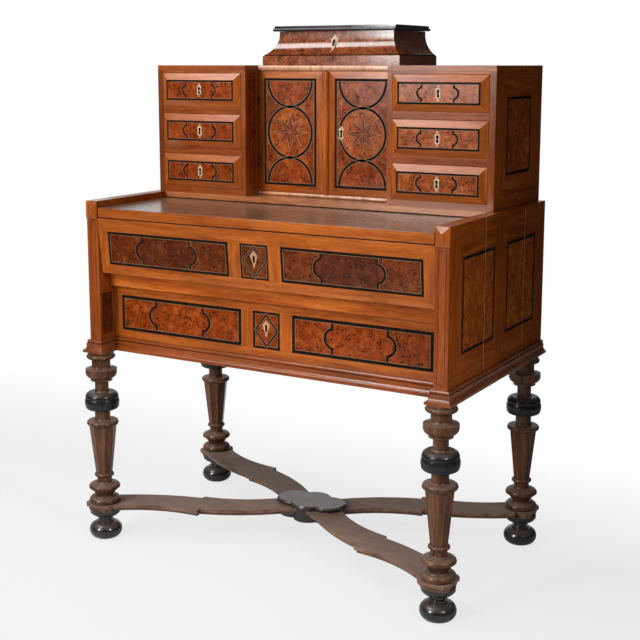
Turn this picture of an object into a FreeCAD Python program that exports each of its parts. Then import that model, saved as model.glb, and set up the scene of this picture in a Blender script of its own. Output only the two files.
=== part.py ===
"""Baroque walnut writing desk: turned stand, long drawers, pull-out board, drawer superstructure, casket.

Millimetres. +X is the viewer's right, +Y the back, +Z up. The origin is on the floor, in the middle of
the desk's box.
"""
import FreeCAD, Part
import os
import re
import Sketcher

Vector = FreeCAD.Vector
ACROSS_X = Vector(1, 0, 0)
ACROSS_Y = Vector(0, 1, 0)
ROUND = 0.7071  # share of its first run that a quarter round has made at its middle

SIZES = {
    # Stand: heights of the turnings, from the floor up
    "bun_waist": 19,
    "bun_height": 38.5,
    "foot_collar_height": 5.5,
    "foot_neck_height": 11,
    "foot_ovolo_height": 9.5,
    "foot_fillet_height": 8.5,
    "stretcher_thickness": 16,
    "lower_disc_waist": 3.5,
    "lower_disc_shoulder": 15,
    "lower_disc_height": 17.5,
    "disc_neck_height": 5.5,
    "upper_disc_cone": 12,
    "upper_disc_waist": 14.5,
    "upper_disc_shoulder": 24,
    "upper_disc_height": 26,
    "ring_neck_height": 15.7,
    "ring_height": 8,
    "taper_height": 120.3,
    "collar_height": 11,
    "collar_slope": 1,
    "leg_neck_height": 27.5,
    "ball_height": 41.7,
    "ball_corner": 5,
    "ball_shoulder": 14,
    "throat_height": 28.3,
    "cup_fillet_height": 6,
    "cup_height": 22.3,
    "cup_rim_height": 7,
    "cup_slope": 2.4,
    "capital_neck_height": 21.8,
    "capital_ring_height": 17,
    "capital_ring_waist": 5,
    "capital_ring_shoulder": 10.5,
    "neck_cove": 6,
    # Stand: radii of the turnings
    "foot_rest_radius": 18,
    "bun_radius": 39,
    "foot_collar_radius": 19.5,
    "foot_neck_radius": 14.5,
    "foot_ring_radius": 36.6,
    "disc_foot_draw": 4.3,
    "disc_radius": 37.3,
    "disc_cone_draw": 4.1,
    "disc_shoulder_draw": 8.3,
    "disc_neck_radius": 20,
    "ring_neck_radius": 17.5,
    "ring_radius": 23.3,
    "taper_foot_width": 36,
    "taper_top_width": 60.2,
    "collar_radius": 37.6,
    "leg_neck_radius": 18.3,
    "ball_radius": 41,
    "ball_belly_radius": 39,
    "ball_flat_radius": 30,
    "throat_radius": 16.3,
    "cup_fillet_radius": 26,
    "cup_rim_radius": 37.3,
    "capital_neck_radius": 22,
    "capital_ring_radius": 34,
    "turning_step": 3,
    "turning_groove": 1.5,
    # Stand: tenons and their holes
    "tenon_radius": 8,
    "tenon_gap": 0.15,
    "tenon_end_gap": 1,
    "ball_tenon_reach": 13,
    "case_tenon_reach": 28,
    "foot_dowel_reach": 22,
    # Stand: places of the legs, half widths of the shaped stretcher along an arm, and the boss
    "leg_side_setback": 18,
    "leg_front_setback": 13.5,
    "leg_back_setback": 52.5,
    "platform_width": 72,
    "platform_clip": 9,
    "platform_undercut": 4,
    "arm_core": 75,
    "arm_core_width": 37,
    "arm_step_from_leg": 234,
    "arm_back_hollow": 23,
    "arm_back_tip": 37,
    "arm_back_shoulder": 28,
    "arm_back_bow": 46,
    "arm_back_end": 42,
    "arm_front_bow": 51,
    "arm_front_shoulder": 45,
    "arm_front_tip": 58,
    "arm_front_hollow": 28,
    "arm_front_end": 33,
    "arm_undercut": 8,
    "arm_ear_round": 6,
    "boss_end_offset": 46,
    "boss_end_radius": 43,
    "boss_side_offset": 15,
    "boss_side_radius": 42,
    "boss_rise": 11,
    "boss_drop": 14,
    "boss_lip": 6,
    "boss_chamfer": 3.5,
    # Lower case
    "case_width": 920,
    "case_depth": 537,
    "cheek_thickness": 31,
    "post_depth": 60,
    "back_thickness": 12,
    "plinth_height": 30,
    "moulding_reach": 14,
    "moulding_fillet": 5.5,
    "moulding_quirk": 1.5,
    "moulding_cove_reach": 7.5,
    "moulding_cove_height": 11.5,
    "moulding_bead_reach": 4.5,
    "moulding_bead_height": 8,
    "moulding_bead_bulge": 1.5,
    "cap_height": 41,
    "cap_overhang": 0.8,
    "cap_thickness": 2,
    "cap_peak": 6,
    "cap_ridge_width": 1,
    "cap_ridge_height": 12,
    # Long drawers, the rail between them and their runners
    "lower_opening": 126,
    "rail_height": 35,
    "rail_setback": 41,
    "rail_depth": 70,
    "upper_opening": 132,
    "upper_front_gap": 2.5,
    "upper_front_cant": 11.4,
    "upper_front_thickness": 24,
    "lower_setback": 53,
    "lower_front_thickness": 22,
    "front_gap": 0.7,
    "run_gap": 0.3,
    "drawer_wall": 12,
    "drawer_bottom": 8,
    "drawer_side_drop": 18,
    "drawer_end_gap": 14,
    "runner_width": 22,
    "runner_height": 14,
    # Writing board, its bearers and the fixed rear top above it
    "board_thickness": 22,
    "board_end_gap": 20,
    "board_side_gap": 2.5,
    "board_slot": 2,
    "bearer_width": 14,
    "bearer_height": 10,
    "bearer_setback": 44,
    "rear_top_thickness": 13,
    # Superstructure
    "upper_side_setback": 16,
    "upper_depth": 277,
    "upper_height": 309.5,
    "upper_side_thickness": 15,
    "upper_top_thickness": 13,
    "upper_back_thickness": 10,
    "partition_thickness": 12,
    "cupboard_width": 376,
    "cupboard_floor_thickness": 9,
    "stack_floor_thickness": 15,
    "shelf_thickness": 16.5,
    "kicker_thickness": 5.5,
    "kicker_depth": 40,
    # Small drawers
    "small_front_thickness": 11,
    "small_front_bevel": 16,
    "small_front_rise": 9,
    "small_wall": 8,
    "small_bottom": 6,
    "small_side_drop": 10,
    # Cupboard doors
    "door_setback": 58,
    "door_thickness": 14,
    "door_bevel": 16.5,
    "door_rise": 3,
    "door_gap": 0.6,
    "door_hinge_gap": 1.9,
    "door_meeting_gap": 1.2,
    "strip_width": 15,
    "strip_edge": 2,
    "strip_rise": 7,
    # Hinges of the doors and the lid
    "hinge_radius": 2.6,
    "hinge_gap": 0.45,
    "hinge_leaf": 0.8,
    "hinge_leaf_width": 15,
    "hinge_knuckle": 8,
    "hinge_knuckle_gap": 0.2,
    "hinge_pin_radius": 1.3,
    "hinge_pin_gap": 0.05,
    "door_hinge_inset": 60,
    "lid_hinge_inset": 60,
    # Casket
    "casket_width": 365,
    "casket_depth": 198,
    "casket_back_gap": 10,
    "casket_plinth": 22,
    "casket_wall_height": 57,
    "casket_ledge": 3,
    "casket_quirk": 1,
    "casket_fillet": 2.5,
    "casket_hollow": 27,
    "casket_hollow_height": 47.5,
    "casket_rim": 10,
    "casket_back_wall": 12,
    "lid_thickness": 12.5,
    "lid_overhang": 13,
    "lid_bead": 7.5,
    "lid_slab_inset": 4,
    "lid_gap": 0.3,
    # Bone escutcheons with their keyholes
    "kite_width": 19,
    "kite_height": 40,
    "kite_shoulder": 8,
    "plate_thickness": 1.2,
    "keyhole_width": 3.6,
    "keyhole_top": 9,
    "keyhole_foot": 6,
    "shield_width": 13,
    "shield_waist": 9.5,
    "shield_height": 28,
    "upper_kite_rise": 66,
    "lower_kite_rise": 66,
    "casket_kite_rise": 29,
    "door_shield_x": 42,
    "door_shield_rise": 144,
}

# Places and sizes that follow from the driving ones
DERIVED = {
    "front": "(max(ball_radius; bun_radius) - leg_front_setback - case_depth) / 2",
    "back": "front + case_depth",
    "outer_half": "case_width / 2",
    "inner_half": "case_width / 2 - cheek_thickness",
    "leg_x": "case_width / 2 - leg_side_setback",
    "leg_front_y": "front + leg_front_setback",
    "leg_back_y": "back - leg_back_setback",
    "stand_y": "(leg_front_y + leg_back_y) / 2",
    "leg_span_y": "leg_back_y - leg_front_y",
    "hole_radius": "tenon_radius + tenon_gap",
    "arm_length": "sqrt(leg_x ^ 2 + (leg_span_y / 2) ^ 2)",
    "arm_step_at": "arm_length - arm_step_from_leg",
    "arm_end": "arm_length - platform_width / 4",
    "foot_collar_top": "bun_height + foot_collar_height",
    "foot_neck_top": "foot_collar_top + foot_neck_height",
    "foot_ovolo_top": "foot_neck_top + foot_ovolo_height",
    "foot_height": "foot_ovolo_top + foot_fillet_height",
    "dowel_foot": "foot_height - foot_dowel_reach",
    "stretcher_top": "foot_height + stretcher_thickness",
    "disc_foot_radius": "disc_radius - disc_foot_draw",
    "disc_cone_radius": "disc_radius - disc_cone_draw",
    "disc_shoulder_radius": "disc_radius - disc_shoulder_draw",
    "lower_disc_top": "stretcher_top + lower_disc_height",
    "upper_disc_foot": "lower_disc_top + disc_neck_height",
    "upper_disc_top": "upper_disc_foot + upper_disc_height",
    "ring_foot": "upper_disc_top + ring_neck_height",
    "taper_foot": "ring_foot + ring_height",
    "taper_top": "taper_foot + taper_height",
    "collar_top": "taper_top + collar_height",
    "leg_neck_foot": "collar_top + collar_slope",
    "ball_foot": "leg_neck_foot + leg_neck_height",
    "ball_top": "ball_foot + ball_height",
    "ball_tenon_top": "ball_top + ball_tenon_reach",
    "fillet_foot": "ball_top + throat_height",
    "cup_foot": "fillet_foot + cup_fillet_height",
    "cup_top": "cup_foot + cup_height",
    "slope_top": "cup_top + cup_slope",
    "capital_ring_foot": "slope_top + capital_neck_height",
    "case_bottom": "capital_ring_foot + capital_ring_height",
    "boss_top": "stretcher_top + boss_rise",
    "boss_foot": "foot_height - boss_drop",
    "stretcher_middle": "foot_height + stretcher_thickness / 2",
    "plinth_top": "case_bottom + plinth_height",
    "rail_bottom": "plinth_top + lower_opening",
    "rail_top": "rail_bottom + rail_height",
    "board_bottom": "rail_top + upper_opening",
    "board_top": "board_bottom + board_thickness",
    "rear_top_bottom": "board_top + board_slot",
    "cheek_top": "rear_top_bottom + rear_top_thickness",
    "inside_back": "back - back_thickness",
    "drawer_end": "inside_back - drawer_end_gap",
    "drawer_half": "inner_half - front_gap",
    "upper_front_foot": "rail_top + run_gap",
    "upper_front_top": "board_bottom - upper_front_gap",
    "upper_front_back": "front + upper_front_cant + upper_front_thickness",
    "upper_front_height": "upper_front_top - (upper_front_foot)",
    "lower_front_foot": "plinth_top + run_gap",
    "lower_front_top": "rail_bottom - front_gap",
    "lower_front": "front + lower_setback",
    "lower_front_back": "lower_front + lower_front_thickness",
    "upper_half": "outer_half - upper_side_setback",
    "upper_front": "back - upper_depth",
    "upper_top": "cheek_top + upper_height",
    "upper_ceiling": "upper_top - upper_top_thickness",
    "upper_inside_back": "back - upper_back_thickness",
    "cupboard_half": "cupboard_width / 2",
    "cupboard_floor": "cheek_top + cupboard_floor_thickness",
    "stack_inner": "cupboard_half + partition_thickness",
    "stack_outer": "upper_half - upper_side_thickness",
    "stack_floor": "cheek_top + stack_floor_thickness",
    "stack_ceiling": "upper_ceiling - kicker_thickness",
    "small_opening": "(stack_ceiling - stack_floor - 2 * shelf_thickness) / 3",
    "small_pitch": "small_opening + shelf_thickness",
    "small_front_back": "upper_front + small_front_thickness",
    "small_end": "upper_inside_back - drawer_end_gap",
    "door_front": "upper_front + door_setback",
    "door_back": "door_front + door_thickness",
    "door_bottom": "cupboard_floor + door_gap",
    "door_top": "upper_ceiling - door_gap",
    "door_edge": "cupboard_half - door_hinge_gap",
    "meeting_x": "strip_width / 2",
    "hinge_length": "3 * hinge_knuckle + 2 * hinge_knuckle_gap",
    "hinge_pitch": "hinge_knuckle + hinge_knuckle_gap",
    "hinge_room": "hinge_radius + hinge_gap",
    "bore_radius": "hinge_pin_radius + hinge_pin_gap",
    "door_axis_x": "cupboard_half - hinge_room",
    "door_axis_y": "door_front - hinge_room",
    "casket_half": "casket_width / 2",
    "casket_back": "back - casket_back_gap",
    "casket_front": "casket_back - casket_depth",
    "casket_floor": "upper_top + casket_plinth",
    "casket_top": "casket_floor + casket_wall_height",
    "casket_draw": "casket_ledge + casket_hollow",
    "casket_wall": "casket_draw + casket_rim",
    "casket_hollow_top": "casket_fillet + casket_hollow_height",
    "lid_bottom": "casket_top + lid_gap",
    "lid_top": "lid_bottom + lid_thickness",
    "lid_bead_top": "lid_bottom + lid_bead",
    "lid_round": "lid_bead / 2",
    "lid_half": "casket_half - casket_draw + lid_overhang",
    "lid_front": "casket_front + casket_draw - lid_overhang",
    "lid_axis_y": "casket_back + hinge_room",
    "lid_axis_z": "casket_top + lid_gap / 2",
}

doc = FreeCAD.newDocument("writing_desk")
sheet = doc.addObject("Spreadsheet::Sheet", "Sizes")
for row, (alias, size) in enumerate(SIZES.items(), 1):
    sheet.set(f"A{row}", str(size))
    sheet.setAlias(f"A{row}", alias)
doc.recompute()

nodes = []


def formula(rule):
    """Spell a rule out in the sheet's own cells."""
    def spell(match):
        word = match.group(0)
        if word in DERIVED:
            return "(" + formula(DERIVED[word]) + ")"
        return "Sizes." + word if word in SIZES else word
    return re.sub(r"[A-Za-z_]\w*", spell, rule)


def value(rule):
    """Give a rule's present size, as a first place for a sketch's corner."""
    return float(sheet.evalExpression(formula(rule)))


def minus(rule):
    return f"-({rule})"


def bind(thing, **rules):
    """Tie properties of an object to the sheet."""
    for name, rule in rules.items():
        thing.setExpression(name, formula(rule))
    return thing


def place(thing, x="0", y="0", z="0"):
    """Tie an object's place to the sheet."""
    for axis, rule in zip("xyz", (x, y, z)):
        thing.setExpression("Placement.Base." + axis, formula(rule))
    return thing


def node(label, thing):
    """Keep an object as a finished piece of the desk."""
    thing.Label = label
    nodes.append(thing)


def box(x, y, z):
    """Make a board between two limits on each axis."""
    made = doc.addObject("Part::Box", "board")
    for side, (low, high) in zip(("Length", "Width", "Height"), (x, y, z)):
        made.setExpression(side, formula(f"({high}) - ({low})"))
    return place(made, x[0], y[0], z[0])


def rod(radius, length, x="0", y="0", z="0", turn=None):
    """Make an upright cylinder, or one turned by an axis and an angle."""
    made = bind(doc.addObject("Part::Cylinder", "rod"), Radius=radius, Height=length)
    if turn:
        made.Placement.Rotation = FreeCAD.Rotation(*turn)
    return place(made, x, y, z)


def fuse(*things):
    made = doc.addObject("Part::MultiFuse", "fuse")
    made.Shapes = list(things)
    return made


def cut(base, *tools):
    for tool in tools:
        made = doc.addObject("Part::Cut", "cut")
        made.Base = base
        made.Tool = tool
        base = made
    return base


def common(one, other):
    made = doc.addObject("Part::Common", "common")
    made.Base = one
    made.Tool = other
    return made


def group(*things):
    """Hold several pieces, each a solid of its own, in one node."""
    made = doc.addObject("Part::Compound", "group")
    made.Links = list(things)
    return made


def mirrored(source, normal=ACROSS_X, y="0"):
    """Mirror a piece in the middle plane, or in a plane across Y."""
    made = doc.addObject("Part::Mirroring", "mirrored")
    made.Source = source
    made.Normal = normal
    made.setExpression("Base.y", formula(y))
    return made


def span(side, low, high):
    """Give limits on X on the right (1), or mirrored on the left (-1)."""
    return (low, high) if side > 0 else (minus(high), minus(low))


def around(middle, width):
    """Give limits half a width to each side of a place."""
    return (f"{middle} - {width} / 2", f"{middle} + {width} / 2")


def quarter(start, end, along=ROUND, up=1 - ROUND):
    """Make an arc step like a quarter round, which first runs along x and then along y.

    The shares say how much of either run is made at the arc's middle.
    """
    x = f"{start[0]} + {along:.4f} * ({end[0]} - ({start[0]}))"
    y = f"{start[1]} + {up:.4f} * ({end[1]} - ({start[1]}))"
    return (x, y) + tuple(end)


def shoulder(start, end):
    """Make an arc step like a quarter round, which first runs along y and then along x."""
    return quarter(start, end, 1 - ROUND, ROUND)


def sketch_on(body, plane, name):
    """Start a sketch on one of a body's own planes."""
    sketch = body.newObject("Sketcher::SketchObject", name)
    origin = next(item for item in body.Origin.OriginFeatures if item.Role == plane)
    sketch.AttachmentSupport = [(origin, "")]
    sketch.MapMode = "FlatFace"
    return sketch


def outline(body, plane, steps, is_closed=True):
    """Draw an outline whose corners follow the sheet.

    A step is (x, y), a straight run to that corner, or (mid x, mid y, x, y), an arc through a point.
    """
    sketch = sketch_on(body, plane, "outline")
    corners = [step[-2:] for step in steps]
    points = [Vector(value(x), value(y), 0) for x, y in corners]
    constraints = []
    rules = []

    def pin(geometry, end, x, y):
        for kind, rule in (("DistanceX", x), ("DistanceY", y)):
            rules.append((len(constraints), rule))
            constraints.append(Sketcher.Constraint(kind, geometry, end, value(rule)))

    runs = []
    first = 0 if is_closed else 1
    for number in range(first, len(steps)):
        step, start, end = steps[number], points[number - 1], points[number]
        if len(step) == 2:
            runs.append((sketch.addGeometry(Part.LineSegment(start, end)), 1, 2))
            continue
        through = Vector(value(step[0]), value(step[1]), 0)
        arc = sketch.addGeometry(Part.Arc(start, through, end))
        runs_forward = sketch.getPoint(arc, 1).distanceToPoint(start) < 0.001
        runs.append((arc, 1, 2) if runs_forward else (arc, 2, 1))
        waypoint = sketch.addGeometry(Part.Point(through), True)
        constraints.append(Sketcher.Constraint("PointOnObject", waypoint, 1, arc))
        pin(waypoint, 1, step[0], step[1])
    for number, (geometry, start, end) in enumerate(runs):
        if number or is_closed:
            before = runs[number - 1]
            constraints.append(Sketcher.Constraint("Coincident", before[0], before[2], geometry, start))
        else:
            pin(geometry, start, *corners[0])
        pin(geometry, end, *corners[number + first])
    sketch.addConstraint(constraints)
    for number, rule in rules:
        sketch.setExpression(f"Constraints[{number}]", formula(rule))
    return sketch


def new_body(x="0", y="0", z="0"):
    return place(doc.addObject("PartDesign::Body", "body"), x, y, z)


def turned(profile, x="0", y="0"):
    """Turn a profile of (radius, height) steps about an upright axis."""
    body = new_body(x, y)
    turning = body.newObject("PartDesign::Revolution", "turning")
    turning.Profile = outline(body, "XZ_Plane", profile)
    turning.ReferenceAxis = (turning.Profile[0], ["V_Axis"])
    turning.Angle = 360
    return body


def extruded(plane, steps, length, x="0", y="0", z="0", midplane=False, reverse=False):
    """Extrude an outline square to one of its body's planes."""
    body = new_body(x, y, z)
    pad = body.newObject("PartDesign::Pad", "pad")
    pad.Profile = outline(body, plane, steps)
    pad.Midplane = midplane
    pad.Reversed = reverse
    pad.setExpression("Length", formula(length))
    return body


def bevelled_panel(x, y, z, bevel, rise):
    """Make a board whose face, towards -Y, slopes up on all sides to a raised flat field."""
    face = place(doc.addObject("Part::Wedge", "face"), y=y[0])
    bind(face, Ymin=minus(rise), Ymax="0")
    bind(face, Xmin=f"{x[0]} + {bevel}", Xmax=f"{x[1]} - {bevel}", X2min=x[0], X2max=x[1])
    bind(face, Zmin=f"{z[0]} + {bevel}", Zmax=f"{z[1]} - {bevel}", Z2min=z[0], Z2max=z[1])
    return fuse(box(x, y, z), face)


def drawer_box(x, y, z, wall, bottom):
    """Make a drawer's two sides, back and bottom, as four boards."""
    inside = (f"{x[0]} + {wall}", f"{x[1]} - {wall}")
    floor = f"{z[0]} + {bottom}"
    return group(
        box((x[0], inside[0]), y, z),
        box((inside[1], x[1]), y, z),
        box(inside, (f"{y[1]} - {wall}", y[1]), (floor, z[1])),
        box(inside, y, (z[0], floor)),
    )


def on_four_legs(source):
    """Repeat a turning of the front left leg on the other three."""
    back_left = mirrored(source, ACROSS_Y, "stand_y")
    return source, mirrored(source), back_left, mirrored(back_left)


def disc_top(waist, rise, top, neck):
    """Steps of a turned disc's upper face, from its rim over a groove to a neck."""
    ridge = ("disc_shoulder_radius", rise)
    return [
        shoulder(("disc_radius", waist), ridge),
        ("disc_shoulder_radius - turning_groove", rise),
        shoulder(("disc_shoulder_radius - turning_groove", rise), (f"{neck} + turning_step", top)),
    ]


def make_legs():
    """Legs with octagonal tapers, balls, capitals and bun feet, joined by tenons."""
    at_leg = (minus("leg_x"), "leg_front_y")
    low_waist = "stretcher_top + lower_disc_waist"
    cone = ("disc_cone_radius", "upper_disc_foot + upper_disc_cone")
    high_waist = "upper_disc_foot + upper_disc_waist"
    ring_neck = ("ring_neck_radius + turning_step", "upper_disc_top")
    leg_neck = ("leg_neck_radius + turning_step", "leg_neck_foot")
    round_part = turned([
        ("0", "dowel_foot"),
        ("tenon_radius", "dowel_foot"),
        ("tenon_radius", "stretcher_top"),
        ("disc_foot_radius", "stretcher_top"),
        quarter(("disc_foot_radius", "stretcher_top"), ("disc_radius", low_waist)),
        *disc_top(low_waist, "stretcher_top + lower_disc_shoulder", "lower_disc_top", "disc_neck_radius"),
        ("disc_neck_radius", "lower_disc_top"),
        ("disc_neck_radius", "upper_disc_foot"),
        ("disc_neck_radius + turning_step", "upper_disc_foot"),
        cone,
        quarter(cone, ("disc_radius", high_waist)),
        *disc_top(high_waist, "upper_disc_foot + upper_disc_shoulder", "upper_disc_top", "ring_neck_radius"),
        quarter(ring_neck, ("ring_neck_radius", "upper_disc_top + neck_cove")),
        ("ring_neck_radius", "ring_foot"),
        ("ring_neck_radius + turning_step", "ring_foot"),
        ("ring_radius", "ring_foot + ring_height / 2", "ring_neck_radius + turning_step", "taper_foot"),
        ("ring_neck_radius", "taper_foot"),
        ("ring_neck_radius", "taper_top"),
        ("collar_radius - turning_step", "taper_top"),
        ("collar_radius", "taper_top + collar_height / 2", "collar_radius - turning_step", "collar_top"),
        leg_neck,
        quarter(leg_neck, ("leg_neck_radius", "leg_neck_foot + neck_cove")),
        ("leg_neck_radius", "ball_foot"),
        ("tenon_radius", "ball_foot"),
        ("tenon_radius", "ball_tenon_top"),
        ("0", "ball_tenon_top"),
    ], *at_leg)
    taper = doc.addObject("Part::Loft", "taper")
    for width, height in (("taper_foot_width", "taper_foot"), ("taper_top_width", "taper_top")):
        octagon = doc.addObject("Part::RegularPolygon", "octagon")
        octagon.Polygon = 8
        place(bind(octagon, Circumradius=f"{width} / 2 / cos(22.5 deg)"), *at_leg, height)
        taper.Sections += [octagon]
    taper.Solid = True
    taper.Ruled = True
    legs = on_four_legs(fuse(round_part, taper))
    for label, leg in zip(("front_left", "front_right", "back_left", "back_right"), legs):
        node("leg_" + label, leg)

    corner = ("ball_belly_radius", "ball_foot + ball_corner")
    crest = ("ball_belly_radius", "ball_top - ball_shoulder")
    ball = turned([
        ("hole_radius", "ball_foot"),
        ("ball_flat_radius", "ball_foot"),
        quarter(("ball_flat_radius", "ball_foot"), corner),
        ("ball_radius", f"({corner[1]} + {crest[1]}) / 2", *crest),
        shoulder(crest, ("ball_flat_radius", "ball_top")),
        ("hole_radius", "ball_top"),
    ], *at_leg)
    node("leg_balls", group(*on_four_legs(ball)))

    throat = ("throat_radius + turning_step", "ball_top")
    cup = ("cup_fillet_radius", "cup_foot")
    neck = ("capital_neck_radius + turning_step", "slope_top")
    ring_edge = ("capital_ring_radius", "capital_ring_foot + capital_ring_waist")
    ring_top = ("capital_ring_radius - turning_step", "capital_ring_foot + capital_ring_shoulder")
    capital = turned([
        ("hole_radius", "ball_top"),
        throat,
        quarter(throat, ("throat_radius", "ball_top + neck_cove")),
        ("throat_radius", "fillet_foot"),
        ("cup_fillet_radius", "fillet_foot"),
        cup,
        quarter(cup, ("cup_rim_radius", "cup_top - cup_rim_height")),
        ("cup_rim_radius", "cup_top"),
        neck,
        quarter(neck, ("capital_neck_radius", "slope_top + neck_cove")),
        ("capital_neck_radius", "capital_ring_foot"),
        ("capital_neck_radius + turning_step", "capital_ring_foot"),
        quarter(("capital_neck_radius + turning_step", "capital_ring_foot"), ring_edge),
        shoulder(ring_edge, ring_top),
        ("capital_ring_radius - turning_step", "case_bottom"),
        ("tenon_radius", "case_bottom"),
        ("tenon_radius", "case_bottom + case_tenon_reach"),
        ("0", "case_bottom + case_tenon_reach"),
        ("0", "ball_tenon_top + tenon_end_gap"),
        ("hole_radius", "ball_tenon_top + tenon_end_gap"),
    ], *at_leg)
    node("leg_capitals", group(*on_four_legs(capital)))

    rest, waist = ("foot_rest_radius", "0"), ("bun_radius", "bun_waist")
    foot = turned([
        ("0", "0"),
        rest,
        quarter(rest, waist),
        shoulder(waist, ("foot_collar_radius + turning_groove", "bun_height")),
        ("foot_collar_radius", "bun_height"),
        ("foot_collar_radius", "foot_collar_top"),
        ("foot_neck_radius", "foot_collar_top"),
        ("foot_neck_radius", "foot_neck_top"),
        quarter(("foot_neck_radius", "foot_neck_top"), ("foot_ring_radius", "foot_ovolo_top")),
        ("foot_ring_radius", "foot_height"),
        ("hole_radius", "foot_height"),
        ("hole_radius", "dowel_foot - tenon_end_gap"),
        ("0", "dowel_foot - tenon_end_gap"),
    ], *at_leg)
    node("bun_feet", group(*on_four_legs(foot)))


def platform_steps(inset):
    """Outline of a stretcher's platform under a leg: a square with clipped corners, drawn in by an inset."""
    wide = f"platform_width / 2 - {inset}"
    short = f"{wide} - platform_clip"
    corner = [(wide, short), (short, wide)]
    steps = []
    for sign_x, sign_y in ((1, 1), (-1, 1), (-1, -1), (1, -1)):
        turn = corner if sign_x == sign_y else corner[::-1]
        steps += [(x if sign_x > 0 else minus(x), y if sign_y > 0 else minus(y)) for x, y in turn]
    return steps


def arm_steps(inset):
    """Outline of a shaped board along X, with bows, hollows and steps, drawn in all round by an inset."""
    inner, outer = "(arm_core + arm_step_at) / 2", "(arm_step_at + arm_end) / 2"

    def back(rule):
        return f"{rule} - {inset}"

    def front(rule):
        return f"{inset} - {rule}"

    back_ear = ("arm_step_at - arm_ear_round", back("arm_back_tip"))
    front_ear = ("arm_step_at + arm_ear_round", front("arm_front_tip"))
    arm = [
        ("arm_core", back("arm_core_width")),
        (inner, back("arm_back_hollow"), *back_ear),
        quarter(back_ear, ("arm_step_at", f"{back_ear[1]} - arm_ear_round")),
        ("arm_step_at", back("arm_back_shoulder")),
        (outer, back("arm_back_bow"), "arm_end", back("arm_back_end")),
        ("arm_end", front("arm_front_end")),
        (outer, front("arm_front_hollow"), *front_ear),
        quarter(front_ear, ("arm_step_at", f"{front_ear[1]} + arm_ear_round")),
        ("arm_step_at", front("arm_front_shoulder")),
        (inner, front("arm_front_bow"), "arm_core", front("arm_core_width")),
    ]
    other_arm = [tuple(minus(rule) for rule in step) for step in arm]
    return arm + other_arm


def make_stretcher():
    """Two shaped boards, halved where they cross, and the scalloped boss around the crossing."""
    boards = []
    for inset, foot in (("0", "stretcher_middle"), ("arm_undercut", "foot_height")):
        layer = extruded("XY_Plane", arm_steps(inset), "stretcher_thickness / 2", "0", "stand_y", foot)
        layer.setExpression("Placement.Rotation.Angle", formula("-atan(leg_span_y / 2 / leg_x)"))
        boards.append(layer)
    holes = []
    for x, y in (("leg_x", "leg_front_y"), (minus("leg_x"), "leg_back_y")):
        for inset, foot in (("0", "stretcher_middle"), ("platform_undercut", "foot_height")):
            boards.append(extruded("XY_Plane", platform_steps(inset), "stretcher_thickness / 2", x, y, foot))
        holes.append(rod("hole_radius", "stretcher_thickness", x, y, "foot_height"))
    right = cut(fuse(*boards), *holes)
    left = mirrored(right)
    all_x, all_y = (minus("leg_x"), "leg_x"), ("leg_front_y", "leg_back_y")
    lower_half = box(all_x, all_y, ("foot_height", "stretcher_middle"))
    node("stretcher_right", cut(right, common(left, lower_half)))
    node("stretcher_left", cut(left, cut(right, lower_half)))

    lobes = []
    for radius, x, y, normal in (("boss_end_radius", "boss_end_offset", "stand_y", ACROSS_X),
                                 ("boss_side_radius", "0", "stand_y + boss_side_offset", ACROSS_Y)):
        neck = f"{radius} - boss_lip"
        lobe = turned([
            ("0", "boss_foot"),
            (neck, "boss_foot"),
            (neck, "stretcher_top"),
            (radius, "stretcher_top + boss_chamfer"),
            (radius, "boss_top - boss_chamfer"),
            (f"{radius} - boss_chamfer", "boss_top"),
            ("0", "boss_top"),
        ], x, y)
        lobes += [lobe, mirrored(lobe, normal, "stand_y")]
    boss = cut(fuse(*lobes), left, right)
    node("stretcher_boss", group(
        common(boss, box(all_x, all_y, ("boss_foot", "stretcher_middle"))),
        common(boss, box(all_x, all_y, ("stretcher_middle", "boss_top"))),
    ))


def moulding_steps():
    """Profile of the base moulding, standing out towards -x: fillet, cove and bead."""
    cove_foot = ("moulding_reach - moulding_quirk", "moulding_fillet")
    cove_top = ("moulding_cove_reach", "moulding_fillet + moulding_cove_height")
    bead_foot = "plinth_height - moulding_bead_height"
    steps = [
        ("0", "0"),
        ("moulding_reach", "0"),
        ("moulding_reach", "moulding_fillet"),
        cove_foot,
        quarter(cove_foot, cove_top),
        ("moulding_cove_reach", bead_foot),
        ("moulding_bead_reach", bead_foot),
        ("moulding_bead_reach + moulding_bead_bulge", "plinth_height - moulding_bead_height / 2",
         "moulding_bead_reach", "plinth_height"),
        ("0", "plinth_height"),
    ]

    def turn_about(step):
        return tuple(minus(rule) if number % 2 == 0 else rule for number, rule in enumerate(step))

    return [turn_about(step) for step in steps]


def make_base_moulding():
    """Mitred wraps round the two posts and cheeks, and the strip under the lower drawer."""
    wrap = new_body(minus("outer_half"), "back", "case_bottom")
    pipe = wrap.newObject("PartDesign::AdditivePipe", "wrap")
    pipe.Profile = outline(wrap, "XZ_Plane", moulding_steps())
    path = [
        ("0", "0"),
        ("0", "-case_depth"),
        ("cheek_thickness", "-case_depth"),
        ("cheek_thickness", "lower_setback - case_depth"),
    ]
    runs = [f"Edge{number}" for number in range(1, len(path))]
    pipe.Spine = (outline(wrap, "XY_Plane", path, is_closed=False), runs)
    pipe.Transition = "Right corner"
    other_wrap = mirrored(wrap)
    node("base_moulding_sides", group(wrap, other_wrap))
    strip = extruded("YZ_Plane", moulding_steps(), "2 * (inner_half)", "0", "lower_front", "case_bottom",
                     midplane=True)
    node("base_moulding_front", cut(strip, wrap, other_wrap))


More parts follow.
